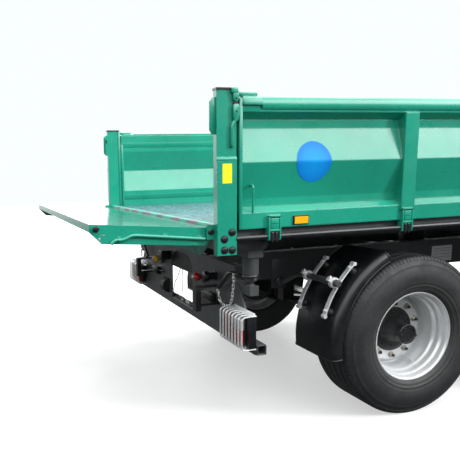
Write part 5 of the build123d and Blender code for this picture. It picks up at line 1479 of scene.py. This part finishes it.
def add_claw(rims, dark, lugs, x, side):
    y = (side * CLAW_RIM_Y[0], side * CLAW_RIM_Y[1])
    for x0, x1 in ((x - CLAW_HALF, x - CLAW_WINDOW), (x + CLAW_WINDOW, x + CLAW_HALF)):
        block(rims, (x0, x1), y, (1.256, CLAW_TOP), 0.0014)
    block(rims, (x - CLAW_HALF, x + CLAW_HALF), y, (1.3795, CLAW_TOP), 0.0014)
    block(rims, (x - KEEPER_HALF, x + KEEPER_HALF), (y[0], side * 1.2682), (1.317, 1.3735), 0.002)
    block(rims, (x - 0.031, x + 0.031), (y[0], side * 1.2678), (1.3, 1.3095), 0.0014)
    # painted shade: black strips for the shadow in the keeper's slot and in the gaps below and above it
    block(dark, (x - 0.019, x + 0.019), (y[0], side * 1.2685), (1.3435, 1.3462))
    block(dark, (x - 0.0298, x + 0.0298), (y[0], side * 1.2655), (1.2508, 1.2998))
    block(dark, (x - 0.0298, x + 0.0298), (y[0], side * 1.2654), (1.3738, 1.3793))
    for offset in (-0.0125, 0.0125):
        prism(lugs, on_side(LUG, side), "x", (x + offset - 0.0062, x + offset + 0.0062), 0.0012)


for side in SIDES:
    rims, dark, lugs, frames = builders(4)
    for x in CLAWS:
        add_claw(rims, dark, lugs, x, side)
    for x in MARKERS:
        y = (side * MARKER_Y[0], side * MARKER_Y[1])
        low, high = MARKER_Z
        for z0, z1 in ((low, low + MARKER_BAR), (high - MARKER_BAR, high)):
            block(frames, (x - MARKER_HALF, x + MARKER_HALF), y, (z0, z1), 0.0012)
        for x0, x1 in ((x - MARKER_HALF, x - MARKER_HALF + MARKER_BAR),
                       (x + MARKER_HALF - MARKER_BAR, x + MARKER_HALF)):
            block(frames, (x0, x1), y, MARKER_Z, 0.0012)
    name = SIDE_NAMES[side]
    settle(dressed_board(side), board_green, f"board_{name}", "green", (f"side_board_{name}",))
    piece(f"claw_rims_{name}", rims, green, f"board_{name}", "green")
    piece(f"claw_slots_{name}", dark, black_plastic, f"board_{name}", "black_plastic")
    piece(f"hinge_lugs_{name}", lugs, black_steel, f"board_{name}", "black_steel")
    piece(f"marker_frames_{name}", frames, black_plastic, f"board_{name}", "black_plastic")

# %% [markdown]
# ## Rear plate
# The lamps are protected by a cage bent from one galvanised sheet: eight bars run back over the lamp, down in
# front of its lens and forward again to the plate. Behind the bars the lens is red, with a clear field high
# on its outer end.

# %% Lamp cages, housings and lenses
BARS = 8
CAGE_Y = (0.902, 1.2)
CAGE_Z = (0.599, 0.804)
CAGE_REAR = 0.178
BAR_WIDTH = 0.0165
BAR_THICK = 0.0045
LAMP_Y = (0.912, 1.15)
LAMP_Z = (0.625, 0.778)
REARWARDS = (-1, 0, 0)
CHANNEL = [(0.23, 1.196), (0.274, 1.196), (0.274, 1.16), (0.269, 1.16), (0.269, 1.191),
           (0.235, 1.191), (0.235, 1.16), (0.23, 1.16)]
LENS_SCREW = [(0, 0), (0.0045, 0), (0.0045, 0.002), (0.003, 0.003), (0, 0.003)]


def cage_bar():
    """One bar, drawn at y = 0."""
    builder = bmesh.new()
    top, bottom, rear = CAGE_Z[1] - BAR_THICK / 2, CAGE_Z[0] + BAR_THICK / 2, CAGE_REAR + BAR_THICK / 2
    corners = [(0.24, 0, top), (rear, 0, top - 0.002), (rear, 0, bottom), (0.24, 0, bottom)]
    faces = flat_bar(builder, bend(corners, 0.03, 7), (0, 1, 0), BAR_WIDTH, BAR_THICK)
    rounded_edges(builder, faces[:-2], 0.0009, 1)
    bmesh.ops.recalc_face_normals(builder, faces=builder.faces[:])
    return builder


bar_shape = as_object("cage_bar", cage_bar())
cages, housings, clear_fields, red_fields, screws = builders(5)
bar_sets = []
for side in SIDES:
    first = side * (CAGE_Y[0] + BAR_WIDTH / 2)
    step = side * (CAGE_Y[1] - CAGE_Y[0] - BAR_WIDTH) / (BARS - 1)
    bar_sets.append(grown(f"cage_bars_{side}", row_tree, {
        "Piece": bar_shape, "Count": BARS, "Start": (0, first, 0), "Step": (0, step, 0),
        "Material": galvanised}))
    for z in (CAGE_Z[1] - BAR_THICK, CAGE_Z[0]):
        block(cages, (0.236, PLATE_FACE), (side * CAGE_Y[0], side * CAGE_Y[1]), (z, z + BAR_THICK), 0.001)
    for z0, z1 in ((CAGE_Z[1] - 0.003, CAGE_Z[1] + 0.01), (CAGE_Z[0] - 0.01, CAGE_Z[0] + 0.003)):
        flange = (side * (CAGE_Y[0] + 0.02), side * (CAGE_Y[1] - 0.02))
        block(cages, (PLATE_FACE - 0.004, PLATE_FACE), flange, (z0, z1), 0.001)
        for y in (0.95, 1.15):
            cap_screw(screws, (0.2712, side * y, (z0 + z1) / 2), REARWARDS, 0.0042, 0.004)
    block(housings, (0.219, 0.256), (side * (LAMP_Y[0] - 0.004), side * (LAMP_Y[1] + 0.004)),
          (LAMP_Z[0] - 0.005, LAMP_Z[1] + 0.005), 0.004)
    lead = [(0.256, side * 1.06, 0.7), (0.268, side * 1.06, 0.7), (0.2745, side * 1.04, 0.69)]
    tube(housings, bend(lead, 0.01), 0.009, 10)
    prism(housings, [(x, side * y) for x, y in CHANNEL], "z", (CAGE_Z[0] + 0.006, CAGE_Z[1] - 0.006), 0.0008)
    outer_half = (side * 1.056, side * LAMP_Y[1])
    block(clear_fields, (0.193, 0.22), outer_half, (0.708, LAMP_Z[1]), 0.003)
    block(red_fields, (0.193, 0.22), outer_half, (LAMP_Z[0], 0.7075), 0.003)
    block(red_fields, (0.192, 0.22), (side * LAMP_Y[0], side * 1.055), LAMP_Z, 0.003)
    for y in (0.924, 1.14):
        lathe(screws, LENS_SCREW, (0.193, side * y, LAMP_Z[0] + 0.01), REARWARDS, 12)
bpy.data.objects.remove(bar_shape)
cage_parts = bar_sets + [as_object("cage_sheets", cages)]
settle(joined("lamp_cages", cage_parts), galvanised, "chassis", "galvanised", ("lamp_guards",))
piece("lamp_housings", housings, black_plastic, "chassis", "black_plastic")
piece("lamp_clear_fields", clear_fields, lamp_clear, "chassis", "lamp_red")
piece("lamp_red_fields", red_fields, lamp_red, "chassis", "lamp_red", ("tail_lamps",))
piece("lamp_screws", screws, zinc, "chassis", "chrome")

# %% [markdown]
# The brake couplings for a second trailer carry a round coloured head with a sprung mouth, on a black valve
# body. Beside each one is a black socket with its ribbed plug. Behind the right buffer frame sits a small box
# for the number plate lamp, with one thin red wire.

# %% Brake couplings, sockets and lamp box
HEAD_RADIUS = 0.0299
MOUTH = [(0.007, 0), (0.0135, 0), (0.0135, 0.006), (0.0125, 0.0085), (0.012, 0.012), (0.0095, 0.013),
         (0.009, 0.008), (0.007, 0.007)]
VALVE = [(0, 0), (0.023, 0), (0.023, 0.013), (0.015, 0.015), (0.015, 0.042), (0, 0.042)]
PLUG = [(0, 0), (0.036, 0), (0.036, 0.006), (0.024, 0.008), (0.024, 0.02), (0.0275, 0.021),
        (0.0275, 0.026), (0.0235, 0.027), (0.0235, 0.033), (0.0275, 0.034), (0.0275, 0.039),
        (0.024, 0.04), (0.024, 0.047), (0.032, 0.05), (0.0335, 0.055), (0.0335, 0.078),
        (0.031, 0.084), (0.024, 0.087), (0, 0.088)]


def add_coupling(heads, metal, valves, y, z):
    ball = [(HEAD_RADIUS * cos(radians(a)), HEAD_RADIUS * sin(radians(a))) for a in range(-66, 67, 12)]
    head = [(0, -0.03), (0.011, -0.03)] + ball + [(0.0105, 0.0285), (0, 0.0285)]
    lathe(heads, head, (0.208, y, z), REARWARDS, 32)
    lathe(metal, MOUTH, (0.182, y, z), REARWARDS, 28)
    round_plate(valves, (0.181, y, z), REARWARDS, 0.0072, 0.003)
    lathe(valves, VALVE, (PLATE_FACE, y, z), REARWARDS, 6)
    round_plate(valves, (0.243, y, z), REARWARDS, 0.02, 0.007)
    block(valves, (0.25, 0.27), (y - 0.012, y + 0.012), (z - 0.044, z - 0.01), 0.003)


def add_plug(plugs, y, z):
    lathe(plugs, PLUG, (PLATE_FACE, y, z), REARWARDS, 32)
    block(plugs, (0.193, 0.216), (y - 0.02, y + 0.02), (z + 0.028, z + 0.037), 0.003)
    for offset in (-0.024, 0.024):
        cap_screw(plugs, (0.269, y + offset, z - 0.024), REARWARDS, 0.0038, 0.004)


heads, metal, valves = builders(3)
add_coupling(heads, metal, valves, -0.472, 0.914)
piece("coupling_red_dressed", heads, red, "chassis", "red", ("coupling_red",))
heads = bmesh.new()
add_coupling(heads, metal, valves, 0.425, 0.918)
piece("coupling_yellow_dressed", heads, yellow, "chassis", "yellow", ("coupling_yellow",))
piece("coupling_mouths", metal, zinc, "chassis", "chrome")
plugs = bmesh.new()
add_plug(plugs, -0.628, 0.945)
block(plugs, (0.192, PLATE_FACE), (0.23, 0.296), (0.936, 1.006), 0.004)
block(plugs, (0.186, 0.192), (0.226, 0.3), (0.932, 1.01), 0.002)
piece("cable_sockets_dressed", plugs, black_plastic, "chassis", "black_plastic", ("cable_sockets",))
piece("coupling_valves", valves, black_steel, "chassis", "black_steel")

boxes, wires = builders(2)
for side in SIDES:
    inner = side * 0.5
    block(boxes, (0.238, PLATE_FACE), (inner, side * 0.648), (0.764, 0.824), 0.004)
    block(boxes, (0.234, 0.239), (side * 0.512, side * 0.636), (0.77, 0.818), 0.002)
    tube(boxes, bend([(0.256, inner, 0.8), (0.256, side * 0.455, 0.8), (0.262, side * 0.42, 0.806),
                      (0.274, side * 0.405, 0.806)], 0.02), 0.006, 10)
    lathe(boxes, [(0, 0), (0.01, 0), (0.01, 0.016), (0, 0.018)], (0.256, inner, 0.8), (0, -side, 0), 12)
tube(wires, bend([(0.25, -0.505, 0.794), (0.246, -0.484, 0.784), (0.25, -0.462, 0.742),
                  (0.262, -0.446, 0.716), (0.2744, -0.442, 0.712)], 0.03), 0.0022, 8)
piece("plate_lamp_boxes", boxes, black_plastic, "chassis", "black_plastic")
piece("plate_lamp_wire", wires, wire_red, "chassis", "red")

# %% [markdown]
# The bed is locked to its balls by pins. Each rear pin has a cranked handle, and a zinc chain keeps it from
# being lost. The chain tree turns every second link by a quarter turn, as real links hang.

# %% Locking handles and chains
LINK_RADIUS = 0.0032
LINK_LENGTH = 0.032
LINK_WIDTH = 0.0135
LINK_STEP = 0.0236
HANDLE_SLEEVE = [(0.012, 0), (0.0165, 0), (0.0165, 0.02), (0.012, 0.02)]
ANCHOR_EYE = [(0.0055, -0.0024), (0.011, -0.0024), (0.011, 0.0024), (0.0055, 0.0024)]
TIP_EYE = [(0.006, -0.0026), (0.011, -0.0026), (0.011, 0.0026), (0.006, 0.0026)]


def chain_link():
    """One round-ended link along Z, drawn about the origin."""
    straight = LINK_LENGTH / 2 - LINK_WIDTH / 2
    line = []
    for middle, first_turn in ((straight, 0.0), (-straight, pi)):
        for turn in between((first_turn, first_turn + pi), 6):
            line.append((-DATUM + LINK_WIDTH / 2 * cos(turn), 0, middle + LINK_WIDTH / 2 * sin(turn)))
    builder = bmesh.new()
    tube(builder, line, LINK_RADIUS, 6, closed=True)
    bmesh.ops.recalc_face_normals(builder, faces=builder.faces[:])
    return builder


def curve_through(name, points):
    """A smooth curve drawn by control points, for a tree to follow."""
    data = bpy.data.curves.new(name, "CURVE")
    data.dimensions = "3D"
    spline = data.splines.new("NURBS")
    spline.points.add(len(points) - 1)
    for point, place in zip(spline.points, points):
        point.co = (*placed(place), 1.0)
    spline.order_u = 3
    spline.use_endpoint_u = True
    spline.resolution_u = 12
    return linked(name, data)


link_shape = as_object("chain_link", chain_link())


def chain(name, points):
    path = curve_through(name + "_path", points)
    obj = grown(name, chain_tree, {"Path": path, "Link": link_shape, "Spacing": LINK_STEP, "Material": zinc})
    bpy.data.objects.remove(path)
    return obj


pins, clips = builders(2)
chains = []
for side in SIDES:
    line = [(0.313, 0.996, 1.0), (0.313, 0.972, 1.0), (0.262, 0.968, 1.012), (0.24, 0.945, 1.022),
            (0.238, 0.915, 1.012), (0.238, 0.762, 0.89)]
    line = [(x, side * y, z) for x, y, z in line]
    tube(pins, bend(line, 0.026, 6), 0.0125, 14)
    lathe(pins, HANDLE_SLEEVE, line[2], (-0.7, -side * 0.72, 0.1), 16)
    anchor = (0.24, side * 0.972, 0.996)
    lathe(clips, ANCHOR_EYE, anchor, (1, 0, 0), 18)
    block(clips, (0.236, 0.244), (side * 0.962, side * 0.978), (0.998, 1.019), 0.001)
    tip = (0.236, side * 0.76, 0.878)
    lathe(clips, TIP_EYE, tip, (1, 0, 0), 18)
    run = [(tip[0], tip[1], tip[2] - 0.01), (0.236, side * 0.765, 0.845), (0.236, side * 0.79, 0.806),
           (0.236, side * 0.866, 0.786), (0.237, side * 0.935, 0.812), (0.238, side * 0.97, 0.89),
           (0.24, side * 0.972, 0.984)]
    chains.append(chain(f"chain_{side}", run))
bpy.data.objects.remove(link_shape)
piece("pin_handles", pins, black_steel, "chassis", "black_steel")
piece("pin_clips", clips, zinc, "chassis", "galvanised")
settle(joined("pin_chains", chains), zinc, "chassis", "galvanised")

# %% [markdown]
# ## Deck edge, tailgate and posts' feet
# The floor's rear edge is worn bright in patches where loads scrape over it. The open tailgate lies level
# with the floor: its latch rod runs along the end, and black caps close the ends of its hinge and latch.

# %% Deck edge, sill and sockets
EDGE_HALF = 1.198
EDGE_PARTS = 16
EDGE_PART = 0.1498
EDGE_SEAM = 0.0005
SMALLEST_PART = 0.004
SILL = [(-1.13, 1.325), (-1.13, 1.256), (-1.078, 1.208), (-0.99, 1.15), (0.99, 1.15),
        (1.078, 1.208), (1.13, 1.256), (1.13, 1.325)]
SOCKET_BEAD = [(0.0482, 1.004), (0.051, 1.004), (0.0524, 1.008), (0.0524, 1.016), (0.05, 1.022),
               (0.0482, 1.024)]
GUSSET = [(0.152, 1.209), (0.204, 1.187), (0.315, 1.186), (0.332, 1.203), (0.341, 1.226), (0.314, 1.248),
          (0.261, 1.252), (0.232, 1.297), (0.226, 1.316), (0.12, 1.316), (0.12, 1.209)]

edge_green, edge_bare, sill, beads, gussets = builders(5)
y = -EDGE_HALF
for k in range(EDGE_PARTS):
    uneven = 0.72 + 0.56 * ((k * 37 % 11) / 10)
    end = EDGE_HALF if k == EDGE_PARTS - 1 else min(y + EDGE_PART * uneven, EDGE_HALF)
    if end - y > SMALLEST_PART:
        block(edge_green if k % 2 else edge_bare, (0.0095, 0.052), (y, end - EDGE_SEAM),
              (DECK_TOP - 0.009, DECK_TOP + 0.012), 0.0008, 1)
    y = end
prism(sill, SILL, "x", (0.0165, 0.0205), 0.0008, 1)
for side in SIDES:
    for x in (0.313, BED_LENGTH - 0.313):
        lathe(beads, SOCKET_BEAD, (x, side * 1.05, 0.0), (0, 0, 1), 40)
    for ahead in (False, True):
        shape = [((BED_LENGTH - x if ahead else x), z) for x, z in GUSSET]
        prism(gussets, shape, "y", (side * 1.196, side * 1.203), 0.0012)
piece("deck_edge_painted", edge_green, rubbed_green, "bed", "green")
piece("deck_edge_bare", edge_bare, worn_edge, "bed", "floor_green")
piece("rear_sill_face", sill, green, "bed", "green")
piece("socket_beads", beads, black_steel, "bed", "black_steel")
piece("corner_gussets", gussets, black_steel, "bed", "black_steel")

# %% [markdown]
# The tailgate is drawn lying level, as a maker's drawing of the gate alone would show it. Each of its
# fittings is then turned about the gate's pin to the small slope at which the open gate rests.

# %% Tailgate fittings
REST_ANGLE = radians(4.5)
GATE_PIN = (-0.02, 1.313)
GATE_LATCH = 0.641
GATE_TIP = 0.673
GATE_SIDE = 1.2026
LEVER_LINE_Y = 1.2125
LEVER_DEPTH = -0.04
LEVER_RUN = ((0.03, 0.0), (0.445, 0.012), (0.49, -0.014), (0.535, -0.015), (0.556, -0.037))
LEVER_CLIPS = ((0.06, 0.0008), (0.26, 0.0067), (0.512, -0.0145))


def lay_gate(obj):
    """Turns a piece drawn level about the gate's pin to the gate's resting slope."""
    middle = placed((GATE_PIN[0], 0, GATE_PIN[1]))
    slope = Matrix.Rotation(REST_ANGLE, 4, "Y")
    place_mesh(obj, Matrix.Translation(middle) @ slope @ Matrix.Translation(-middle))
    return obj


def gate_point(reach, depth, y):
    """A place on the gate drawn level: reach from the pin towards the tip, depth up from the pin's middle."""
    return GATE_PIN[0] - reach, y, GATE_PIN[1] + depth


def gate_block(builder, reach, y, depth, edge=0.0, segments=2):
    """A block on the gate between two limits of reach and of depth."""
    far, _, low = gate_point(max(reach), min(depth), 0)
    near, _, high = gate_point(min(reach), max(depth), 0)
    block(builder, (far, near), y, (low, high), edge, segments)


gate_levers, gate_caps, gate_marks, gate_bolts, tip_strip = builders(5)
for side in SIDES:
    y = side * LEVER_LINE_Y
    line = [gate_point(reach, LEVER_DEPTH + lift, y) for reach, lift in LEVER_RUN]
    tube(gate_levers, bend(line, 0.045, 7), 0.0088, 16)
    for reach, lift in LEVER_CLIPS:
        depth = LEVER_DEPTH + lift
        gate_block(gate_bolts, (reach - 0.012, reach + 0.012), (side * 1.202, side * 1.206),
                   (depth - 0.018, depth + 0.018), 0.0012)
        tube(gate_bolts, [gate_point(reach + offset, depth, y) for offset in (-0.007, 0.007)], 0.0102, 14)
    for reach in (0.0, GATE_LATCH):
        round_plate(gate_caps, gate_point(reach, 0.0, side * 1.215), (0, side, 0), 0.011, 0.006, 20)
        dome(gate_caps, gate_point(reach, 0.0, side * 1.2203), (0, side, 0), 0.0175, 0.0072)
    gate_block(gate_marks, (0.586, 0.608), (side * GATE_SIDE, side * 1.2036), (-0.0325, -0.0285))
    gate_block(gate_marks, (0.61, 0.622), (side * GATE_SIDE, side * 1.2044), (-0.06, -0.048), 0.0005)
gate_block(tip_strip, (GATE_TIP - 0.006, GATE_TIP + 0.0008), (-1.196, 1.196), (0.0195, 0.0226), 0.0005, 1)
for name, builder, material, slot in (
        ("gate_levers", gate_levers, green, "green"), ("gate_lever_clips", gate_bolts, green, "green"),
        ("gate_caps", gate_caps, black_plastic, "black_plastic"), ("gate_slots", gate_marks, zinc, "chrome"),
        ("gate_tip_strip", tip_strip, plate_metal, "floor_green")):
    settle(lay_gate(as_object(name, builder)), material, "tailgate", slot)

# %% [markdown]
# A black sheet in the upper part of the plate's window is painted shade, standing in for the shadow there.
# Below it two thin cables hang from the crossbeam, and a taped loom with a pale tag lies along the tube at the
# bottom. The two cables are free between their ends, and their lengths are worked out from their curves.

# %% Window shade sheet, cables and loom
WINDOW_SHADE_SHEET = [(-0.219, 0.886), (0.219, 0.886), (0.219, 0.939), (0.115, 1.0), (0.115, 1.023),
          (-0.115, 1.023), (-0.115, 1.0), (-0.219, 0.939)]
LOOM = ((0.308, 0.42, 0.6262), (0.306, 0.25, 0.6262), (0.309, 0.12, 0.6275), (0.305, 0.01, 0.6262),
        (0.309, -0.12, 0.627), (0.307, -0.3, 0.6262))
TIE = ((0.29, 0.6225), (0.296, 0.638), (0.307, 0.645), (0.318, 0.638), (0.324, 0.6225))

shade_sheet, loom, tapes, tag = builders(4)
# painted shade: a black sheet across the window's upper part, where the shadow lies
prism(shade_sheet, WINDOW_SHADE_SHEET, "x", (0.2785, 0.2826), 0.0008, 1)
piece("window_shield", shade_sheet, black_plastic, "chassis", "black_plastic")


def hanging_cable(name, points, radius, length, material):
    """A thin cable along one smooth curve."""
    obj = curve_through(name, points)
    obj.data.bevel_depth = radius
    obj.data.bevel_resolution = 3
    obj.data.use_fill_caps = True
    obj.data.materials.append(material)
    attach(obj, "chassis")
    return obj


CABLE_A = [(0.313, 0.122, 0.898), (0.313, 0.122, 0.872), (0.312, 0.15, 0.832), (0.311, 0.205, 0.775),
           (0.311, 0.262, 0.718), (0.311, 0.282, 0.665), (0.311, 0.284, 0.62)]
CABLE_B = [(0.313, 0.078, 0.898), (0.313, 0.078, 0.85), (0.312, 0.07, 0.78), (0.312, 0.084, 0.71),
           (0.312, 0.096, 0.66), (0.312, 0.098, 0.62)]


def smooth_length(points):
    """Length of the smooth curve through control points, read from the curve itself."""
    probe = curve_through("probe", points)
    mesh = bpy.data.meshes.new_from_object(probe)
    places = [vert.co.copy() for vert in mesh.vertices]
    bpy.data.objects.remove(probe)
    return sum((after - before).length for before, after in zip(places, places[1:]))


hanging_cable("window_cable_a", CABLE_A, 0.0034, smooth_length(CABLE_A), hose_black)
hanging_cable("window_cable_b", CABLE_B, 0.003, smooth_length(CABLE_B), hose_black)

for offset, lift in ((-0.008, 0.0), (0.008, 0.0), (0.0, 0.011)):
    line = [(x + offset, y, z + lift) for x, y, z in LOOM]
    tube(loom, bend(line, 0.09, 8), 0.006, 10)
for y in (0.33, 0.19, 0.06, -0.08, -0.22):
    tube(tapes, [(x, y, z) for x, z in TIE], 0.0024, 8)
block(tag, (0.292, 0.2935), (-0.11, -0.03), (0.6225, 0.646), 0.0004, 1)
block(tag, (0.292, 0.2935), (0.02, 0.06), (0.6225, 0.64), 0.0004, 1)
piece("window_loom", loom, hose_black, "chassis", "rubber")
piece("loom_ties", tapes, black_plastic, "chassis", "black_plastic")
piece("loom_tags", tag, tag_white, "chassis", "yellow")

# %% [markdown]
# ## Chassis, axles and drawbar
# These are hidden or outside the photograph, and are finished as such trailers are: brake chambers with their
# slack adjusters on both axles, U-bolts over the leaves, hard pipes along the rails, a drain valve under the
# air tank, a crank on the jack and a blank plate on the right rail.

# %% Rail plate and its rivets
PLATE_SPAN_X, PLATE_SPAN_Z = (2.245, 2.449), (0.872, 0.998)
RIVET_INSET = 0.007
plate, rivets, frame_lines = builders(3)
block(plate, PLATE_SPAN_X, (-0.48, -0.4812), PLATE_SPAN_Z, 0.0004, 1)
for x in (PLATE_SPAN_X[0] + RIVET_INSET, PLATE_SPAN_X[1] - RIVET_INSET):
    for z in (PLATE_SPAN_Z[0] + RIVET_INSET, PLATE_SPAN_Z[1] - RIVET_INSET):
        dome(rivets, (x, -0.481, z), (0, -1, 0), 0.0035, 0.0016, 12)
for z in (0.905, 0.93, 0.955, 0.975):
    block(frame_lines, (2.262, 2.432), (-0.4811, -0.4816), (z, z + 0.0022))
piece("rail_plate", plate, plate_metal, "chassis", "chrome")
piece("rail_plate_rivets", rivets, zinc, "chassis", "chrome")
piece("rail_plate_lines", frame_lines, black_steel, "chassis", "black_steel")

# %% [markdown]
# Each spring is clamped to its axle by two U-bolts through a plate. A U-bolt is a bar bent over the leaves,
# so it is a tube along a rounded line, with a nut on a washer under each end.

# %% U-bolts and spring plates
SPRING_Y = 0.44
U_BOLT_X = (-0.085, 0.085)
U_BOLT = ((-0.052, 0.455), (-0.052, 0.712), (-0.03, 0.73), (0.03, 0.73), (0.052, 0.712), (0.052, 0.455))
ubolts, clips = builders(2)
for x in AXLES.values():
    for side in SIDES:
        y = side * SPRING_Y
        for offset in U_BOLT_X:
            line = [(x + offset, y + across, z) for across, z in U_BOLT]
            tube(ubolts, bend(line, 0.02, 4), 0.0095, 10)
            for place in (y + U_BOLT[0][0], y + U_BOLT[-1][0]):
                cap_screw(ubolts, (x + offset, place, 0.468), (0, 0, -1), 0.014, 0.016)
        block(clips, (x - 0.115, x + 0.115), (y - 0.075, y + 0.075), (0.452, 0.472), 0.004)
piece("spring_u_bolts", ubolts, black_steel, "chassis", "black_steel")
piece("spring_plates", clips, black_steel, "chassis", "black_steel")

# %% [markdown]
# Air works the brakes through a round chamber at each wheel. Its rod pulls a lever on a shaft that runs out
# to the drum. The chamber is turned on a lathe, the lever is a thick plate, and rod and shaft are tubes.

# %% Brake chambers and slack adjusters
CHAMBER = [(0, 0), (0.05, 0), (0.066, 0.014), (0.07, 0.04), (0.078, 0.044), (0.078, 0.056), (0.07, 0.06),
           (0.068, 0.1), (0.056, 0.12), (0, 0.124)]
BRAKE_LEVER = ((0.062, 0.515), (0.102, 0.515), (0.106, 0.612), (0.092, 0.634), (0.074, 0.612))
chambers, rods = builders(2)
for x in AXLES.values():
    for side in SIDES:
        y = side * 0.64
        centre = (x + 0.15, y, 0.64)
        lathe(chambers, CHAMBER, centre, (1, 0, 0.18), 32)
        tube(rods, [(x + 0.155, y, 0.641), (x + 0.09, y, 0.62)], 0.008, 10)
        outline = [(x + ahead, z) for ahead, z in BRAKE_LEVER]
        prism(chambers, outline, "y", (y - 0.014, y + 0.014), 0.003)
        block(chambers, (x + 0.058, x + 0.158), (y - 0.006, y + 0.006), (0.575, 0.6), 0.002)
        block(chambers, (x + 0.146, x + 0.154), (y - 0.05, y + 0.05), (0.575, 0.69), 0.002)
        tube(chambers, [(x + 0.082, y - side * 0.12, 0.536), (x + 0.082, side * 0.83, 0.536)], 0.0165, 14)
piece("brake_chambers", chambers, black_steel, "chassis", "black_steel")
piece("brake_rods", rods, zinc, "chassis", "galvanised")

# %% [markdown]
# Two hard plastic pipes run along the inside of each rail, one for each brake line, with a clip every half
# metre.

# %% Pipes along the rails, with clips
PIPE_HEIGHTS = (0.9, 0.918)
PIPE_RADIUS = 0.005
PIPE_Y = 0.393
CLIPS, FIRST_CLIP, CLIP_STEP = 9, 0.56, 0.48
pipes, pipe_clips = builders(2)
for side in SIDES:
    for z in PIPE_HEIGHTS:
        tube(pipes, [(0.42, side * PIPE_Y, z), (4.6, side * PIPE_Y, z)], PIPE_RADIUS, 8)
    for k in range(CLIPS):
        x = FIRST_CLIP + k * CLIP_STEP
        block(pipe_clips, (x - 0.008, x + 0.008), (side * 0.387, side * 0.4005),
              (PIPE_HEIGHTS[0] - 0.012, PIPE_HEIGHTS[1] + 0.012), 0.0015)
piece("rail_pipes", pipes, hose_black, "chassis", "rubber")
piece("pipe_clips", pipe_clips, zinc, "chassis", "galvanised")

# %% [markdown]
# The air tank has a plug in each end, a drain valve below, and a pipe that bends up to each rail.

# %% Air tank fittings
TANK = (3.95, 0.0, 0.718)
TANK_PLUG = [(0, 0), (0.018, 0), (0.018, 0.012), (0.01, 0.014), (0.01, 0.026), (0, 0.026)]
DRAIN_VALVE = [(0, 0), (0.014, 0), (0.014, 0.014), (0.008, 0.016), (0.008, 0.034), (0, 0.036)]
TANK_PIPE = ((0.0, 0.325, TANK[2]), (0.0, 0.36, TANK[2]), (-0.03, 0.382, 0.78), (-0.04, 0.39, 0.9))
tank_parts = bmesh.new()
for side in SIDES:
    lathe(tank_parts, TANK_PLUG, (TANK[0], side * 0.308, TANK[2]), (0, side, 0), 6)
lathe(tank_parts, DRAIN_VALVE, (TANK[0], 0.0, 0.6), (0, 0, -1), 6)
for side in (LEFT, RIGHT):
    line = [(TANK[0] + ahead, side * y, z) for ahead, y, z in TANK_PIPE]
    tube(tank_parts, bend(line, 0.03), PIPE_RADIUS, 8)
piece("tank_fittings", tank_parts, zinc, "chassis", "chrome")

# %% [markdown]
# The jack is wound by a crank beside its cap: one bent bar with a plastic grip. Three screws on each side
# hold the drawbar's eye.

# %% Jack crank and drawbar screws
JACK_X = 5.75
JACK_CAP = [(0, 0), (0.052, 0), (0.052, 0.01), (0.04, 0.016), (0.03, 0.018), (0.03, 0.034), (0, 0.036)]
CRANK = ((-0.085, 1.045), (-0.118, 1.045), (-0.128, 1.03), (-0.132, 0.9), (-0.142, 0.888), (-0.16, 0.886))
GRIP_FORM = [(0, 0), (0.015, 0.002), (0.0165, 0.01), (0.0155, 0.095), (0.012, 0.104), (0, 0.106)]
EYE_SCREWS = ((6.3, 0.985), (6.3, 0.915), (6.37, 0.95))
crank, grip, coupler = builders(3)
lathe(crank, JACK_CAP, (JACK_X, 0.0, 1.09), (0, 0, 1), 32)
round_plate(crank, (JACK_X, -0.046, 1.045), (0, -1, 0), 0.016, 0.045, 20)
tube(crank, bend([(JACK_X, y, z) for y, z in CRANK], 0.015, 5), 0.0085, 12)
lathe(grip, GRIP_FORM, (JACK_X, -0.15, 0.886), (0, -1, 0), 20)
for side in SIDES:
    for x, z in EYE_SCREWS:
        cap_screw(coupler, (x, side * 0.1, z), (0, side, 0), 0.016, 0.014)
piece("jack_crank", crank, zinc, "chassis", "galvanised")
piece("jack_grip", grip, black_plastic, "chassis", "black_plastic")
piece("drawbar_screws", coupler, zinc, "chassis", "galvanised")

# %% [markdown]
# ## Pieces
# The number of dressed pieces and of their triangles is printed.

# %% Pieces and triangles
print("pieces", len(made_pieces), "triangles", sum(made_pieces.values()))
